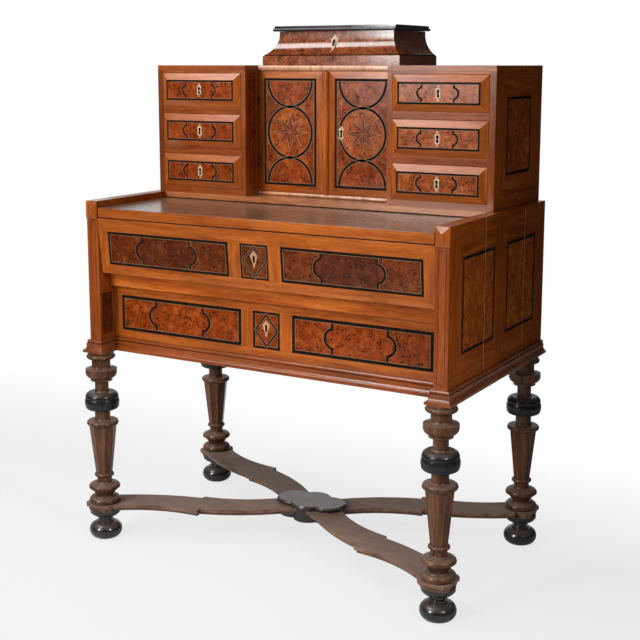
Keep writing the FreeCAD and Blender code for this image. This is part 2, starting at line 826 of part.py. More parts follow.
def make_case():
    """Cheeks, posts with diamond caps, bottom, back, rail, runners, rear top and writing board."""
    inside = (minus("inner_half"), "inner_half")
    left_wall = span(-1, "inner_half", "outer_half")
    height = ("case_bottom", "cheek_top")
    uprights = []
    for depth, leg_y in ((("front + post_depth", "back"), "leg_back_y"),
                         (("front", "front + post_depth"), "leg_front_y")):
        hole = rod("hole_radius", "case_tenon_reach + tenon_end_gap", minus("leg_x"), leg_y, "case_bottom")
        uprights.append(cut(box(left_wall, depth, height), hole))
    cheek, post = uprights
    node("cheek_left", cheek)
    node("cheek_right", mirrored(cheek))
    node("posts", group(post, mirrored(post)))

    cap_x = span(-1, "inner_half", "outer_half + cap_overhang")
    cap_z = ("cheek_top - cap_height", "cheek_top")
    ridge_x = around(f"({cap_x[0]} + {cap_x[1]}) / 2", "cap_ridge_width")
    ridge_z = around("cheek_top - cap_height / 2", "cap_ridge_height")
    point = place(doc.addObject("Part::Wedge", "point"), y="front - cap_thickness")
    bind(point, Ymin="-cap_peak", Ymax="0", X2min=cap_x[0], X2max=cap_x[1], Z2min=cap_z[0], Z2max=cap_z[1])
    bind(point, Xmin=ridge_x[0], Xmax=ridge_x[1], Zmin=ridge_z[0], Zmax=ridge_z[1])
    cap = fuse(box(cap_x, ("front - cap_thickness", "front"), cap_z), point)
    node("post_caps", group(cap, mirrored(cap)))

    rail_back = "front + rail_setback + rail_depth"
    node("case_bottom", box(inside, ("lower_front", "back"), ("case_bottom", "plinth_top")))
    node("case_back", box(inside, ("inside_back", "back"), ("plinth_top", "rear_top_bottom")))
    node("middle_rail", box(inside, ("front + rail_setback", rail_back), ("rail_bottom", "rail_top")))
    rests = []
    for side in (-1, 1):
        rests.append(box(span(side, "inner_half - runner_width", "inner_half"), (rail_back, "inside_back"),
                         ("rail_top - runner_height", "rail_top")))
        rests.append(box(span(side, "inner_half - bearer_width", "inner_half"),
                         ("front + bearer_setback", "inside_back"),
                         ("board_bottom - run_gap - bearer_height", "board_bottom - run_gap")))
    node("runners", group(*rests))

    node("rear_top", box(inside, ("upper_front", "back"), ("rear_top_bottom", "cheek_top")))
    board_x = around("0", "2 * (inner_half - board_side_gap)")
    board_y = ("front", "inside_back - board_end_gap")
    node("writing_board", box(board_x, board_y, ("board_bottom", "board_top")))


def escutcheon(steps, x, y, z, lean="0"):
    """Make a bone plate with a keyhole, facing -Y, whose top leans forward by an angle."""
    body = new_body(x, y, z)
    body.Placement.Rotation = FreeCAD.Rotation(ACROSS_X, 1)
    body.setExpression("Placement.Rotation.Angle", formula(lean))
    plate = body.newObject("PartDesign::Pad", "plate")
    plate.Profile = outline(body, "XZ_Plane", steps)
    plate.setExpression("Length", formula("plate_thickness"))
    keyhole = body.newObject("PartDesign::Pocket", "keyhole")
    keyhole.Profile = outline(body, "XZ_Plane", keyhole_steps())
    keyhole.Reversed = True
    keyhole.setExpression("Length", formula("plate_thickness"))
    return body


def keyhole_steps():
    side, shoulder = "keyhole_width / 2", "keyhole_top - keyhole_width / 2"
    return [
        (minus(side), "-keyhole_foot"),
        (side, "-keyhole_foot"),
        (side, shoulder),
        ("0", "keyhole_top", minus(side), shoulder),
    ]


def kite_steps():
    return [
        ("0", "-kite_height / 2"),
        ("kite_width / 2", "kite_shoulder"),
        ("0", "kite_height / 2"),
        ("-kite_width / 2", "kite_shoulder"),
    ]


def shield_steps():
    """Outline of an upright plate with a drawn-in waist and blunt points."""
    half, high = "shield_width / 2", "shield_height / 2 - shield_width / 4"
    return [
        ("0", "-shield_height / 2"),
        (half, minus(high)),
        ("shield_waist / 2", "0", half, high),
        ("0", "shield_height / 2"),
        (minus(half), high),
        ("-shield_waist / 2", "0", minus(half), minus(high)),
    ]


def make_long_drawers():
    """Canted upper drawer and upright lower drawer, with bone escutcheons."""
    x = (minus("drawer_half"), "drawer_half")
    node("upper_drawer_front", extruded("YZ_Plane", [
        ("upper_front_cant", "0"),
        ("upper_front_cant + upper_front_thickness", "0"),
        ("upper_front_cant + upper_front_thickness", "upper_front_height"),
        ("0", "upper_front_height"),
    ], "2 * (drawer_half)", "0", "front", "upper_front_foot", midplane=True))
    node("upper_drawer_box", drawer_box(x, ("upper_front_back", "drawer_end"),
                                        ("upper_front_foot", "upper_front_top - drawer_side_drop"),
                                        "drawer_wall", "drawer_bottom"))
    kite_y = "front + upper_front_cant * (1 - upper_kite_rise / (upper_front_height))"
    lean = "atan(upper_front_cant / (upper_front_height))"
    node("upper_drawer_escutcheon",
         escutcheon(kite_steps(), "0", kite_y, "upper_front_foot + upper_kite_rise", lean))
    node("lower_drawer_front", box(x, ("lower_front", "lower_front_back"),
                                   ("lower_front_foot", "lower_front_top")))
    node("lower_drawer_box", drawer_box(x, ("lower_front_back", "drawer_end"),
                                        ("lower_front_foot", "lower_front_top - drawer_side_drop"),
                                        "drawer_wall", "drawer_bottom"))
    node("lower_drawer_escutcheon",
         escutcheon(kite_steps(), "0", "lower_front", "lower_front_foot + lower_kite_rise"))


def make_superstructure():
    """Sides, partitions, shelves, top, back and cupboard floor."""
    upright = ("cheek_top", "upper_ceiling")
    depth = ("upper_front", "upper_inside_back")
    partitions, shelves = [], []
    for side, label in ((-1, "left"), (1, "right")):
        outer = span(side, "stack_outer", "upper_half")
        node("upper_side_" + label, box(outer, ("upper_front", "back"), upright))
        partitions.append(box(span(side, "cupboard_half", "stack_inner"), depth, upright))
        across = span(side, "stack_inner", "stack_outer")
        shelves.append(box(across, depth, ("cheek_top", "stack_floor")))
        for level in (1, 2):
            top = f"stack_floor + {level} * small_pitch"
            shelves.append(box(across, depth, (f"{top} - shelf_thickness", top)))
        kicker_y = ("upper_front", "upper_front + kicker_depth")
        shelves.append(box(across, kicker_y, ("stack_ceiling", "upper_ceiling")))
    node("partitions", group(*partitions))
    node("stack_shelves", group(*shelves))
    cupboard_x = (minus("cupboard_half"), "cupboard_half")
    top_z = ("upper_ceiling", "upper_top")
    node("upper_top", cut(
        box((minus("upper_half"), "upper_half"), ("upper_front", "back"), top_z),
        box(cupboard_x, ("upper_front", "door_front"), top_z),
    ))
    node("upper_back", box((minus("stack_outer"), "stack_outer"), ("upper_inside_back", "back"), upright))
    node("cupboard_floor", box(cupboard_x, ("door_front", "upper_inside_back"),
                               ("cheek_top", "cupboard_floor")))


def make_small_drawers():
    """Three small drawers in each stack, with bevelled raised fronts."""
    for side, label in ((-1, "left"), (1, "right")):
        x = span(side, "stack_inner + front_gap", "stack_outer - front_gap")
        for level, level_label in enumerate(("bottom", "middle", "top")):
            opening_foot = f"stack_floor + {level} * small_pitch"
            foot, top = f"{opening_foot} + run_gap", f"{opening_foot} + small_opening - front_gap"
            name = f"small_drawer_{label}_{level_label}"
            node(name + "_front", bevelled_panel(x, ("upper_front", "small_front_back"), (foot, top),
                                                 "small_front_bevel", "small_front_rise"))
            node(name + "_box", drawer_box(x, ("small_front_back", "small_end"),
                                           (foot, f"{top} - small_side_drop"), "small_wall", "small_bottom"))


def door_hinge(side, z):
    """Make a door hinge on the right (1) or left (-1): fixed leaf, moving leaf and pin."""
    axis = (f"{side} * (door_axis_x)", "door_axis_y")
    tiers = [f"{z} + {tier} * hinge_pitch" for tier in range(3)]
    reach = ("door_axis_y", "door_axis_y + hinge_leaf_width")
    knuckles = [rod("hinge_radius", "hinge_knuckle", *axis, tier) for tier in tiers]
    bore = rod("bore_radius", "hinge_length", *axis, z)
    plate = box(span(side, "cupboard_half - hinge_leaf", "cupboard_half"), reach, (z, f"{z} + hinge_length"))
    notch = box(span(side, "door_edge", "cupboard_half"), ("door_axis_y", "door_axis_y + hinge_room"),
                (f"{tiers[1]} - hinge_knuckle_gap", tiers[2]))
    fixed = cut(fuse(cut(plate, notch), knuckles[0], knuckles[2]), bore)
    moving_plate = box(span(side, "door_edge", "door_edge + hinge_leaf"), reach,
                       (tiers[1], f"{tiers[1]} + hinge_knuckle"))
    moving = cut(fuse(moving_plate, knuckles[1]), bore)
    return fixed, moving, rod("hinge_pin_radius", "hinge_length", *axis, z)


def lid_hinge(x):
    """Make a casket hinge from x rightwards: fixed leaf, moving leaf and pin."""
    axis = ("lid_axis_y", "lid_axis_z")
    lying = (ACROSS_Y, 90)
    tiers = [f"{x} + {tier} * hinge_pitch" for tier in range(3)]
    leaf_y = ("casket_back", "casket_back + hinge_leaf")
    knuckles = [rod("hinge_radius", "hinge_knuckle", tier, *axis, lying) for tier in tiers]
    bore = rod("bore_radius", "hinge_length", x, *axis, lying)
    plate = box((x, f"{x} + hinge_length"), leaf_y, ("casket_top - hinge_leaf_width", "lid_axis_z"))
    notch = box((f"{tiers[1]} - hinge_knuckle_gap", tiers[2]), leaf_y,
                ("lid_axis_z - hinge_room", "lid_axis_z"))
    fixed = cut(fuse(cut(plate, notch), knuckles[0], knuckles[2]), bore)
    moving_plate = box((tiers[1], f"{tiers[1]} + hinge_knuckle"), leaf_y, ("lid_axis_z", "lid_bead_top"))
    moving = cut(fuse(moving_plate, knuckles[1]), bore)
    return fixed, moving, rod("hinge_pin_radius", "hinge_length", x, *axis, lying)


def make_doors():
    """Two bevelled doors, the half-round strip on the right one and its bone plate."""
    y = ("door_front", "door_back")
    z = ("door_bottom", "door_top")
    left_x = (minus("door_edge"), "-(meeting_x) - door_meeting_gap")
    node("door_left", bevelled_panel(left_x, y, z, "door_bevel", "door_rise"))
    meeting_edge = box((minus("meeting_x"), "meeting_x"), y, z)
    panel = bevelled_panel(("meeting_x", "door_edge"), y, z, "door_bevel", "door_rise")
    node("door_right", fuse(meeting_edge, panel))
    node("door_strip", extruded("XY_Plane", [
        (minus("meeting_x"), "0"),
        (minus("meeting_x"), "-strip_edge"),
        ("0", "-strip_rise", "meeting_x", "-strip_edge"),
        ("meeting_x", "0"),
    ], "door_top - (door_bottom)", "0", "door_front", "door_bottom"))
    node("door_escutcheon", escutcheon(shield_steps(), "door_shield_x", "door_front - door_rise",
                                       "door_bottom + door_shield_rise"))


def make_hinges():
    """Hinges of both doors and of the casket's lid."""
    fixed_leaves, pins = [], []

    def hinge_pair(label, hinges):
        moving_leaves = []
        for fixed, moving, pin in hinges:
            fixed_leaves.append(fixed)
            moving_leaves.append(moving)
            pins.append(pin)
        node(label, group(*moving_leaves))

    door_heights = ("door_bottom + door_hinge_inset", "door_top - door_hinge_inset - (hinge_length)")
    for side, label in ((-1, "left"), (1, "right")):
        hinge_pair(f"door_{label}_hinge_leaves", [door_hinge(side, z) for z in door_heights])
    lid_places = ("lid_hinge_inset - (casket_half)", "casket_half - lid_hinge_inset - (hinge_length)")
    hinge_pair("casket_lid_hinge_leaves", [lid_hinge(x) for x in lid_places])
    node("fixed_hinge_leaves", group(*fixed_leaves))
    node("hinge_pins", group(*pins))


def make_casket():
    """Plinth, hollow-moulded walls mitred at the front, plain back, beaded lid and curved bone plate."""
    node("casket_plinth", box((minus("casket_half"), "casket_half"), ("casket_front", "casket_back"),
                              ("upper_top", "casket_floor")))
    hollow_foot = ("casket_ledge + casket_quirk", "casket_fillet")
    hollow = [
        ("casket_ledge", "0"),
        ("casket_ledge", "casket_fillet"),
        hollow_foot,
        quarter(hollow_foot, ("casket_draw", "casket_hollow_top"), 0.73, 0.43),
        ("casket_draw", "casket_wall_height"),
        ("casket_wall", "casket_wall_height"),
        ("casket_wall", "0"),
    ]
    front_mitre = [
        (minus("casket_half"), "0"),
        ("casket_half", "0"),
        ("casket_half - casket_wall", "casket_wall"),
        ("casket_wall - (casket_half)", "casket_wall"),
    ]
    side_mitre = [
        ("0", "0"),
        ("casket_wall", "casket_wall"),
        ("casket_wall", "casket_depth"),
        ("0", "casket_depth"),
    ]
    corner = (minus("casket_half"), "casket_front", "casket_floor")
    middle = ("0", "casket_front", "casket_floor")
    front = common(extruded("YZ_Plane", hollow, "casket_width", *middle, midplane=True),
                   extruded("XY_Plane", front_mitre, "casket_wall_height", *middle))
    side = common(extruded("XZ_Plane", hollow, "casket_depth", *corner, reverse=True),
                  extruded("XY_Plane", side_mitre, "casket_wall_height", *corner))
    back = box(("casket_wall - (casket_half)", "casket_half - casket_wall"),
               ("casket_back - casket_back_wall", "casket_back"), ("casket_floor", "casket_top"))
    node("casket_walls", group(front, side, mirrored(side), back))

    rounds = [
        box(("lid_round - (lid_half)", "lid_half - lid_round"), ("lid_front + lid_round", "casket_back"),
            ("lid_bottom", "lid_bead_top")),
        box(("lid_slab_inset - (lid_half)", "lid_half - lid_slab_inset"),
            ("lid_front + lid_slab_inset", "casket_back"), ("lid_bead_top", "lid_top")),
        rod("lid_round", "2 * (lid_half - lid_round)", "lid_round - (lid_half)", "lid_front + lid_round",
            "lid_bottom + lid_round", (ACROSS_Y, 90)),
    ]
    for x in ("lid_round - (lid_half)", "lid_half - lid_round"):
        rounds.append(rod("lid_round", "casket_back - (lid_front) - lid_round", x, "lid_front + lid_round",
                          "lid_bottom + lid_round", (ACROSS_X, -90)))
        ball = bind(doc.addObject("Part::Sphere", "corner"), Radius="lid_round")
        rounds.append(place(ball, x, "lid_front + lid_round", "lid_bottom + lid_round"))
    node("casket_lid", fuse(*rounds))

    proud = extruded("YZ_Plane", hollow, "kite_width", "0", "casket_front - plate_thickness",
                     "casket_floor", midplane=True)
    kite_at = ("0", "casket_front", "casket_floor + casket_kite_rise")
    kite = extruded("XZ_Plane", kite_steps(), "casket_wall", *kite_at, reverse=True)
    keyhole = extruded("XZ_Plane", keyhole_steps(), "casket_wall", *kite_at, reverse=True)
    node("casket_escutcheon", cut(common(kite, proud), front, keyhole))


make_legs()
make_stretcher()
make_case()
make_base_moulding()
make_long_drawers()
make_superstructure()
make_small_drawers()
make_doors()
make_casket()
make_hinges()

doc.recompute()
for thing in doc.Objects:
    if {"Invalid", "Error"} & set(thing.State):
        raise RuntimeError(f"{thing.Name} ({thing.Label}) is in state {thing.State}")
for thing in nodes:
    if thing.Shape.isNull() or not thing.Shape.isValid():
        raise RuntimeError(f"{thing.Label} has no valid shape")

os.makedirs("parts", exist_ok=True)
for thing in nodes:
    thing.Shape.exportStep(f"parts/{thing.Label}.step")
print(len(nodes), "pieces written")
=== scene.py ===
"""Looks of the baroque writing desk: woods, inlay, bone plates, floor, light and camera.

Blender works in metres. Sizes of the inlay are written in millimetres and turned into metres when
a mesh is made. +X is the viewer's right, +Y the back and +Z up, with the origin on the floor in the
middle of the desk.
"""
import math

import bmesh
import bpy
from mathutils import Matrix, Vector


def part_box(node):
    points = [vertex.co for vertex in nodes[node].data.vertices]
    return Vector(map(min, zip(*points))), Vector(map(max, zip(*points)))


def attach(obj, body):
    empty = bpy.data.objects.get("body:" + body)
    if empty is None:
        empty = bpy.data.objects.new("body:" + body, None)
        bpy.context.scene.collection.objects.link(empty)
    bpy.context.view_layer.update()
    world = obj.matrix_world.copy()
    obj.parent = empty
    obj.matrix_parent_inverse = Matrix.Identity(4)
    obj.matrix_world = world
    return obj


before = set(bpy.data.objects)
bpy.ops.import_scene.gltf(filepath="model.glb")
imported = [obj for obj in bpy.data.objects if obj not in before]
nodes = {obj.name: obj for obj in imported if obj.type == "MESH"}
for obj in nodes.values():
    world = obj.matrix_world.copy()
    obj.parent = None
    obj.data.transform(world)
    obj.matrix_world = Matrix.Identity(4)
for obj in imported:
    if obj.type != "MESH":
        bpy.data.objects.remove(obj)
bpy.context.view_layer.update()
scene = bpy.context.scene

MM = 0.001
SIDES = {"left": -1, "right": 1}

# Layers of the inlay: how deep a plate is let into the wood, and how far each kind stands proud of it
SINK = 0.2
VENEER = 0.30
BURL = 0.34
CENTRE = 0.37
BAND = 0.42
STRING = 0.46
FILLING = 0.60  # of the cracks, and the painted shade laid black behind the casket's keyhole
CRESCENT = 0.9
PLATE = 1.1
ON_PLATE = 1.3  # the painted shade of a keyhole, laid black on a bone plate

# Widths of the lines and bands
STRING_WIDTH = 0.7
STAR_EDGE, STAR_RIB = 0.8, 0.5
CRACK_WIDTH = 0.9
POST_LINE = 1.2
REVEAL_LINE = 1.5
CUPBOARD_LINE = 1.4
SMALL_BAND = 4.4
DOOR_BAND = 6.0
CHEEK_BAND = 7
UPPER_BAND = 6

# Panels as boxes of (u, v, u, v) on their faces, and the margins of those that follow a node's size
CHEEK_PANELS = ((-204, 61, -34, 262), (36, 61, 207, 262))
UPPER_PANEL = (-72, 74, 70, 243)
REVEAL_PANEL = (-17, 14, 17, 112)
CUPBOARD_PANEL_HALF, CUPBOARD_PANEL_MARGIN = 13, 6
POST_STRIP_HALF, POST_STRIP_FOOT, POST_STRIP_HEAD = 8.5, 10, 8
CHEEK_MARGIN, UPPER_MARGIN, LIPPING_MARGIN = 1, 0.5, 0.3
BEAD_END, BEAD_EDGE = 0.5, 0.4

# Dividers of the panels: their places as shares of the width, with the side that they bow to, and
# their bows as shares of the height
DIVIDERS = ((0.285, -1), (0.70, 1))
BOW_HALF, BOW_DEPTH = 0.32, 0.27

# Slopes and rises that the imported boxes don't give
STRIP_RISE = 4
HOLLOW_LEAN = 22.3
DRAWER_CANT = 11.4
SMALL_BEVEL, SMALL_RISE = 16, 9
DOOR_BEVEL, DOOR_RISE = 16.5, 3

# Small plates: keyhole, and the crescents' two edges by the distance of their centres and their radii
KEY_HEAD_HEIGHT, KEY_HEAD_RADIUS = 4.6, 3.5
KEY_SLOT = [(-1.8, 0), (-3.2, -8.6), (3.2, -8.6), (1.8, 0)]
ROUND_DISTANCE, ROUND_RADIUS = 17.5, 4.2
HOLLOW_DISTANCE, HOLLOW_RADIUS = 19.2, 4.0

# Stars of the doors, long drawers' keyholes and the foot and top of the casket's black line
STAR_REACH, STAR_VALLEY = 47, 18
LONG_KEYHOLE_WIDTH = 5.2
LINE_FOOT, LINE_TOP = 0.1, 2.5

# Cracks in the right cheek: where they are from front to back, and the reach, pace and start of their sways
CRACKS = (-72.8, 154.6)
CRACK_SWAYS = ((0.9, 0.83, 0), (0.6, 2.3, 1))

# Studio
FLOOR_EDGE = 2.1
BACKDROP = (-0.505, 0.863, 0.0)  # the way that the camera looks, level with the floor
BACKDROP_EDGE = (0.85, 0.97)  # where the white backdrop fades in, as the cosine of the angle to it
SOFT_FROM = (-0.35, -0.76, 0.55)  # the side that most of the soft light comes from
WHITE = (1, 1, 1, 1)


class NodeTree:
    """A material or world under construction. Inputs are values or other nodes' outputs."""

    def __init__(self, tree):
        self.tree = tree

    def wire(self, node, inputs):
        for key, source in inputs.items():
            if isinstance(source, bpy.types.NodeSocket):
                self.tree.links.new(source, node.inputs[key])
            else:
                node.inputs[key].default_value = source

    def add(self, kind, output=0, inputs=None, **settings):
        node = self.tree.nodes.new("ShaderNode" + kind)
        for key, setting in settings.items():
            setattr(node, key, setting)
        self.wire(node, inputs or {})
        return node.outputs[output]

    def math(self, operation, one, other=0.0):
        return self.add("Math", operation=operation, inputs={0: one, 1: other})

    def dot(self, one, other):
        return self.add("VectorMath", "Value", {0: one, 1: other}, operation="DOT_PRODUCT")

    def mix(self, factor, one, other, blend="MIX"):
        return self.add("Mix", 2, {0: factor, 6: one, 7: other}, data_type="RGBA", blend_type=blend)

    def blend(self, one, other, share):
        """Add two values, the first with its share and the other with the rest."""
        part, rest = self.math("MULTIPLY", one, share), self.math("MULTIPLY", other, 1 - share)
        return self.math("ADD", part, rest)

    def noise(self, vector, scale, detail=2.0, roughness=0.5, distortion=0.0, output="Fac"):
        inputs = {"Vector": vector, "Scale": scale, "Detail": detail, "Roughness": roughness,
                  "Distortion": distortion}
        return self.add("TexNoise", output, inputs)

    def stretch(self, vector, scale):
        return self.add("Mapping", 0, {"Vector": vector, "Scale": scale})

    def drift(self, vector, scale, reach):
        """Bend a pattern's place by a slow noise."""
        slow = self.noise(vector, scale, output="Color")
        middled = self.add("VectorMath", 0, {0: slow, 1: (0.5, 0.5, 0.5)}, operation="SUBTRACT")
        scaled = self.add("VectorMath", 0, {0: middled, "Scale": reach}, operation="SCALE")
        return self.add("VectorMath", 0, {0: vector, 1: scaled}, operation="ADD")

    def fade(self, source, low, high, low_to=0.0, high_to=1.0):
        inputs = {"Value": source, "From Min": low, "From Max": high, "To Min": low_to, "To Max": high_to}
        return self.add("MapRange", 0, inputs)

    def ramp(self, factor, stops):
        node = self.tree.nodes.new("ShaderNodeValToRGB")
        elements = node.color_ramp.elements
        while len(elements) < len(stops):
            elements.new(0.5)
        for element, (position, colour) in zip(elements, stops):
            element.position = position
            element.color = rgba(colour)
        self.wire(node, {0: factor})
        return node.outputs[0]


class Paint(NodeTree):
    """A new material around one Principled shader."""

    def __init__(self, name):
        self.material = bpy.data.materials.new(name)
        self.material.use_nodes = True
        super().__init__(self.material.node_tree)
        self.shader = self.tree.nodes["Principled BSDF"]
        self.place = self.add("TexCoord", "Object")
        self.flat = self.add("NewGeometry", "Normal")
        self.eased = self.flat
        self.film = None

    def finish(self, colour, roughness, height, depth, constants):
        """Wire colour, roughness and a bump of a depth in millimetres, and set the other sockets."""
        inputs = {"Strength": 0.6, "Distance": depth * MM, "Height": height, "Normal": self.eased}
        bump = self.add("Bump", 0, inputs)
        if self.film:
            roughness = self.add("Mix", 0, {0: self.film, 2: roughness, 3: DUST_ROUGHNESS})
        self.wire(self.shader, {"Base Color": colour, "Roughness": roughness, "Normal": bump})
        self.wire(self.shader, constants)
        return self.material

    def toned(self, colour, tone, dark, light):
        """Vary a colour slowly between two tints."""
        return self.mix(1.0, colour, self.ramp(tone, ((0.3, dark), (0.7, light))), "MULTIPLY")

    def worn(self, colour, bare, radius, share, ease):
        """Rub the colour through along edges, and on boards ease the edges by that radius in mm."""
        eased = self.add("Bevel", 0, {"Radius": radius * MM}, samples=4)
        if ease:
            self.eased = eased
        edge = self.fade(self.dot(eased, self.flat), 0.995, 0.86)
        patchy = self.fade(self.noise(self.place, scale=90, detail=3), 0.38, 0.62)
        return self.mix(self.math("MULTIPLY", self.math("MULTIPLY", edge, patchy), share), colour, bare)

    def dusted_and_sheened(self, colour, share):
        """Lay a dull pale film on what faces up: old dust, and painted sheen of the light from above."""
        upward = self.fade(self.add("SeparateXYZ", "Z", {0: self.flat}), 0.35, 0.85)
        patchy = self.fade(self.noise(self.place, scale=60, detail=4, roughness=0.6), 0.3, 0.7, 0.45, 1.0)
        self.film = self.math("MULTIPLY", self.math("MULTIPLY", upward, patchy), share)
        return self.mix(self.film, colour, rgba(DUST_AND_SHEEN))

    def shade_corners(self, colour, corner_shade, reach):
        """Paint shade into corners and quirks: darken them by how closed in they are."""
        open_share = self.add("AmbientOcclusion", "AO", {"Distance": reach * MM}, samples=6)
        return self.mix(self.fade(open_share, 0.85, 0.35, 0.0, 0.75), colour, corner_shade)


POLISHED = {"Specular IOR Level": 0.4}
DRY = {"Specular IOR Level": 0.03}
WAXED = {"Specular IOR Level": 0.3}
LACQUERED = {"Coat Weight": 0.5, "Coat Roughness": 0.08}
RUBBED = {"Coat Weight": 0.4, "Coat Roughness": 0.2}
DULL = {"Specular IOR Level": 0.1}
AGED = {"Subsurface Weight": 0.1, "Subsurface Scale": 0.002}
RUSTED = {"Metallic": 0.6}
# colour of the film on what faces up: old dust, with painted sheen of the light from above in it
DUST_AND_SHEEN = (0.25, 0.18, 0.145)
DUST_ROUGHNESS = 0.75


def shade(colour, factor):
    return tuple(channel * factor for channel in colour)


def rgba(colour):
    return (*colour, 1)


def wood(name, colours, grain, gloss=0.19, wear=0.35, corner_shade=0.0, dust_and_sheen=0.0, finish=POLISHED):
    """Polished straight-grained wood with growth bands, fibres, pores and rubbed edges.

    Colours go from dark to light. Corner shade is the reach of the painted shade in corners, in
    millimetres. Turned and shaped pieces have some, boards none.
    """
    dark, middle, light = colours
    paint = Paint(name)
    along = [1.0, 1.0, 1.0]
    along["XYZ".index(grain)] = 0.06
    board = paint.stretch(paint.drift(paint.place, scale=8, reach=0.02), along)
    bands = paint.noise(board, scale=75, detail=5, roughness=0.55, distortion=0.5)
    fibres = paint.noise(board, scale=620, detail=3)
    pores = paint.fade(paint.noise(board, scale=2100, detail=1), 0.60, 0.72)
    tone = paint.noise(paint.place, scale=6)
    mixed = paint.blend(bands, fibres, 0.68)
    colour = paint.ramp(mixed, ((0.34, dark), (0.5, middle), (0.66, light)))
    colour = paint.mix(paint.math("MULTIPLY", pores, 0.5), colour, rgba(shade(dark, 0.4)))
    colour = paint.toned(colour, tone, (0.78, 0.76, 0.74), (1.12, 1.1, 1.08))
    # painted shade: darker in corners and quirks, by how closed in they are
    if corner_shade:
        colour = paint.shade_corners(colour, rgba(shade(dark, 0.25)), corner_shade)
    if wear:
        colour = paint.worn(colour, rgba(shade(light, 1.25)), 1.4, wear, not corner_shade)
    # old dust and painted sheen of the light from above on what faces up
    if dust_and_sheen:
        colour = paint.dusted_and_sheened(colour, dust_and_sheen)
    roughness = paint.fade(fibres, 0.3, 0.7, gloss - 0.06, gloss + 0.08)
    height = paint.math("SUBTRACT", paint.math("MULTIPLY", fibres, 0.5), paint.math("MULTIPLY", pores, 0.5))
    return paint.finish(colour, roughness, height, 0.12, finish)


def burl(name, deep, middle, light, gloss=0.19, finish=POLISHED):
    """Polished burl veneer: cloudy ground, clusters of dark eyes and fine flecks."""
    paint = Paint(name)
    bent = paint.drift(paint.place, scale=40, reach=0.012)
    clouds = paint.noise(bent, scale=55, detail=4, roughness=0.6, distortion=0.8)
    clusters = paint.fade(paint.noise(bent, scale=58), 0.40, 0.58)
    eyes = paint.noise(bent, scale=250, detail=3, roughness=0.62, distortion=0.6)
    eyes = paint.fade(eyes, 0.49, 0.57)
    flecks = paint.fade(paint.noise(bent, scale=640, roughness=0.6), 0.54, 0.66)
    tone = paint.noise(paint.place, scale=13)
    colour = paint.ramp(clouds, ((0.33, shade(middle, 0.7)), (0.5, middle), (0.67, light)))
    colour = paint.mix(paint.math("MULTIPLY", flecks, 0.45), colour, rgba(deep))
    clustered = paint.math("MULTIPLY", eyes, clusters)
    colour = paint.mix(paint.math("MULTIPLY", clustered, 0.9), colour, rgba(deep))
    colour = paint.toned(colour, tone, (0.78, 0.74, 0.70), (1.15, 1.13, 1.1))
    roughness = paint.fade(clouds, 0.3, 0.7, gloss - 0.05, gloss + 0.08)
    height = paint.math("SUBTRACT", clouds, paint.math("MULTIPLY", eyes, 0.4))
    return paint.finish(colour, roughness, height, 0.1, finish)


def ebonised(name, tone, gloss, wear=0.0, dust_and_sheen=0.0, finish=LACQUERED):
    """Black-stained wood, rubbed brown along its edges."""
    paint = Paint(name)
    fibres = paint.noise(paint.stretch(paint.place, (1.0, 1.0, 0.15)), scale=320, detail=4)
    smears = paint.noise(paint.place, scale=38, detail=4, roughness=0.6)
    colour = paint.ramp(fibres, ((0.35, shade(tone, 0.5)), (0.7, shade(tone, 1.5))))
    if wear:
        colour = paint.worn(colour, rgba((0.10, 0.05, 0.025)), 1.6, wear, False)
    # old dust and painted sheen of the light from above on what faces up
    if dust_and_sheen:
        colour = paint.dusted_and_sheened(colour, dust_and_sheen)
    roughness = paint.fade(smears, 0.3, 0.7, gloss - 0.06, gloss + 0.12)
    return paint.finish(colour, roughness, fibres, 0.08, finish)


def bone(name, dark, middle, light):
    """Old bone with fine streaks, yellowed in patches."""
    paint = Paint(name)
    streaks = paint.noise(paint.stretch(paint.place, (1.0, 1.0, 0.1)), scale=1500, detail=3)
    patches = paint.noise(paint.place, scale=110, detail=3)
    mixed = paint.blend(streaks, patches, 0.45)
    colour = paint.ramp(mixed, ((0.36, dark), (0.5, middle), (0.64, light)))
    roughness = paint.fade(patches, 0.3, 0.7, 0.28, 0.45)
    return paint.finish(colour, roughness, streaks, 0.05, AGED)


def iron(name):
    """Dark wrought iron with a dull brown bloom."""
    paint = Paint(name)
    bloom = paint.noise(paint.place, scale=160, detail=5, roughness=0.65)
    pits = paint.noise(paint.place, scale=900, detail=3)
    colour = paint.ramp(bloom, ((0.35, (0.016, 0.015, 0.015)), (0.65, (0.075, 0.055, 0.042))))
    roughness = paint.fade(bloom, 0.3, 0.7, 0.38, 0.62)
    return paint.finish(colour, roughness, pits, 0.2, RUSTED)


WALNUT = ((0.21, 0.042, 0.004), (0.35, 0.083, 0.010), (0.47, 0.135, 0.022))
POST_WALNUT = ((0.145, 0.029, 0.004), (0.235, 0.051, 0.008), (0.32, 0.083, 0.016))
SIDE_WALNUT = ((0.15, 0.028, 0.002), (0.25, 0.052, 0.004), (0.35, 0.085, 0.009))
EDGE_WALNUT = ((0.105, 0.020, 0.002), (0.165, 0.034, 0.004), (0.23, 0.056, 0.009))
# painted light: the middle rail's walnut is lighter than the fronts', to lift the shade that the canted
# upper drawer casts on it
LIT_RAIL_WALNUT = ((0.28, 0.054, 0.005), (0.47, 0.105, 0.012), (0.62, 0.17, 0.026))
MOULDING_WALNUT = ((0.115, 0.028, 0.006), (0.19, 0.050, 0.013), (0.27, 0.083, 0.025))
# painted reflection: paler and greyer than the fronts' walnut, it stands in for the sheen of the pale room
# on the rear top
SHEENED_REAR_WALNUT = ((0.21, 0.064, 0.017), (0.34, 0.115, 0.035), (0.45, 0.17, 0.065))
LEG_WALNUT = ((0.036, 0.012, 0.005), (0.098, 0.038, 0.016), (0.19, 0.083, 0.040))
STRETCHER_WALNUT = ((0.075, 0.034, 0.018), (0.16, 0.088, 0.056), (0.27, 0.165, 0.11))
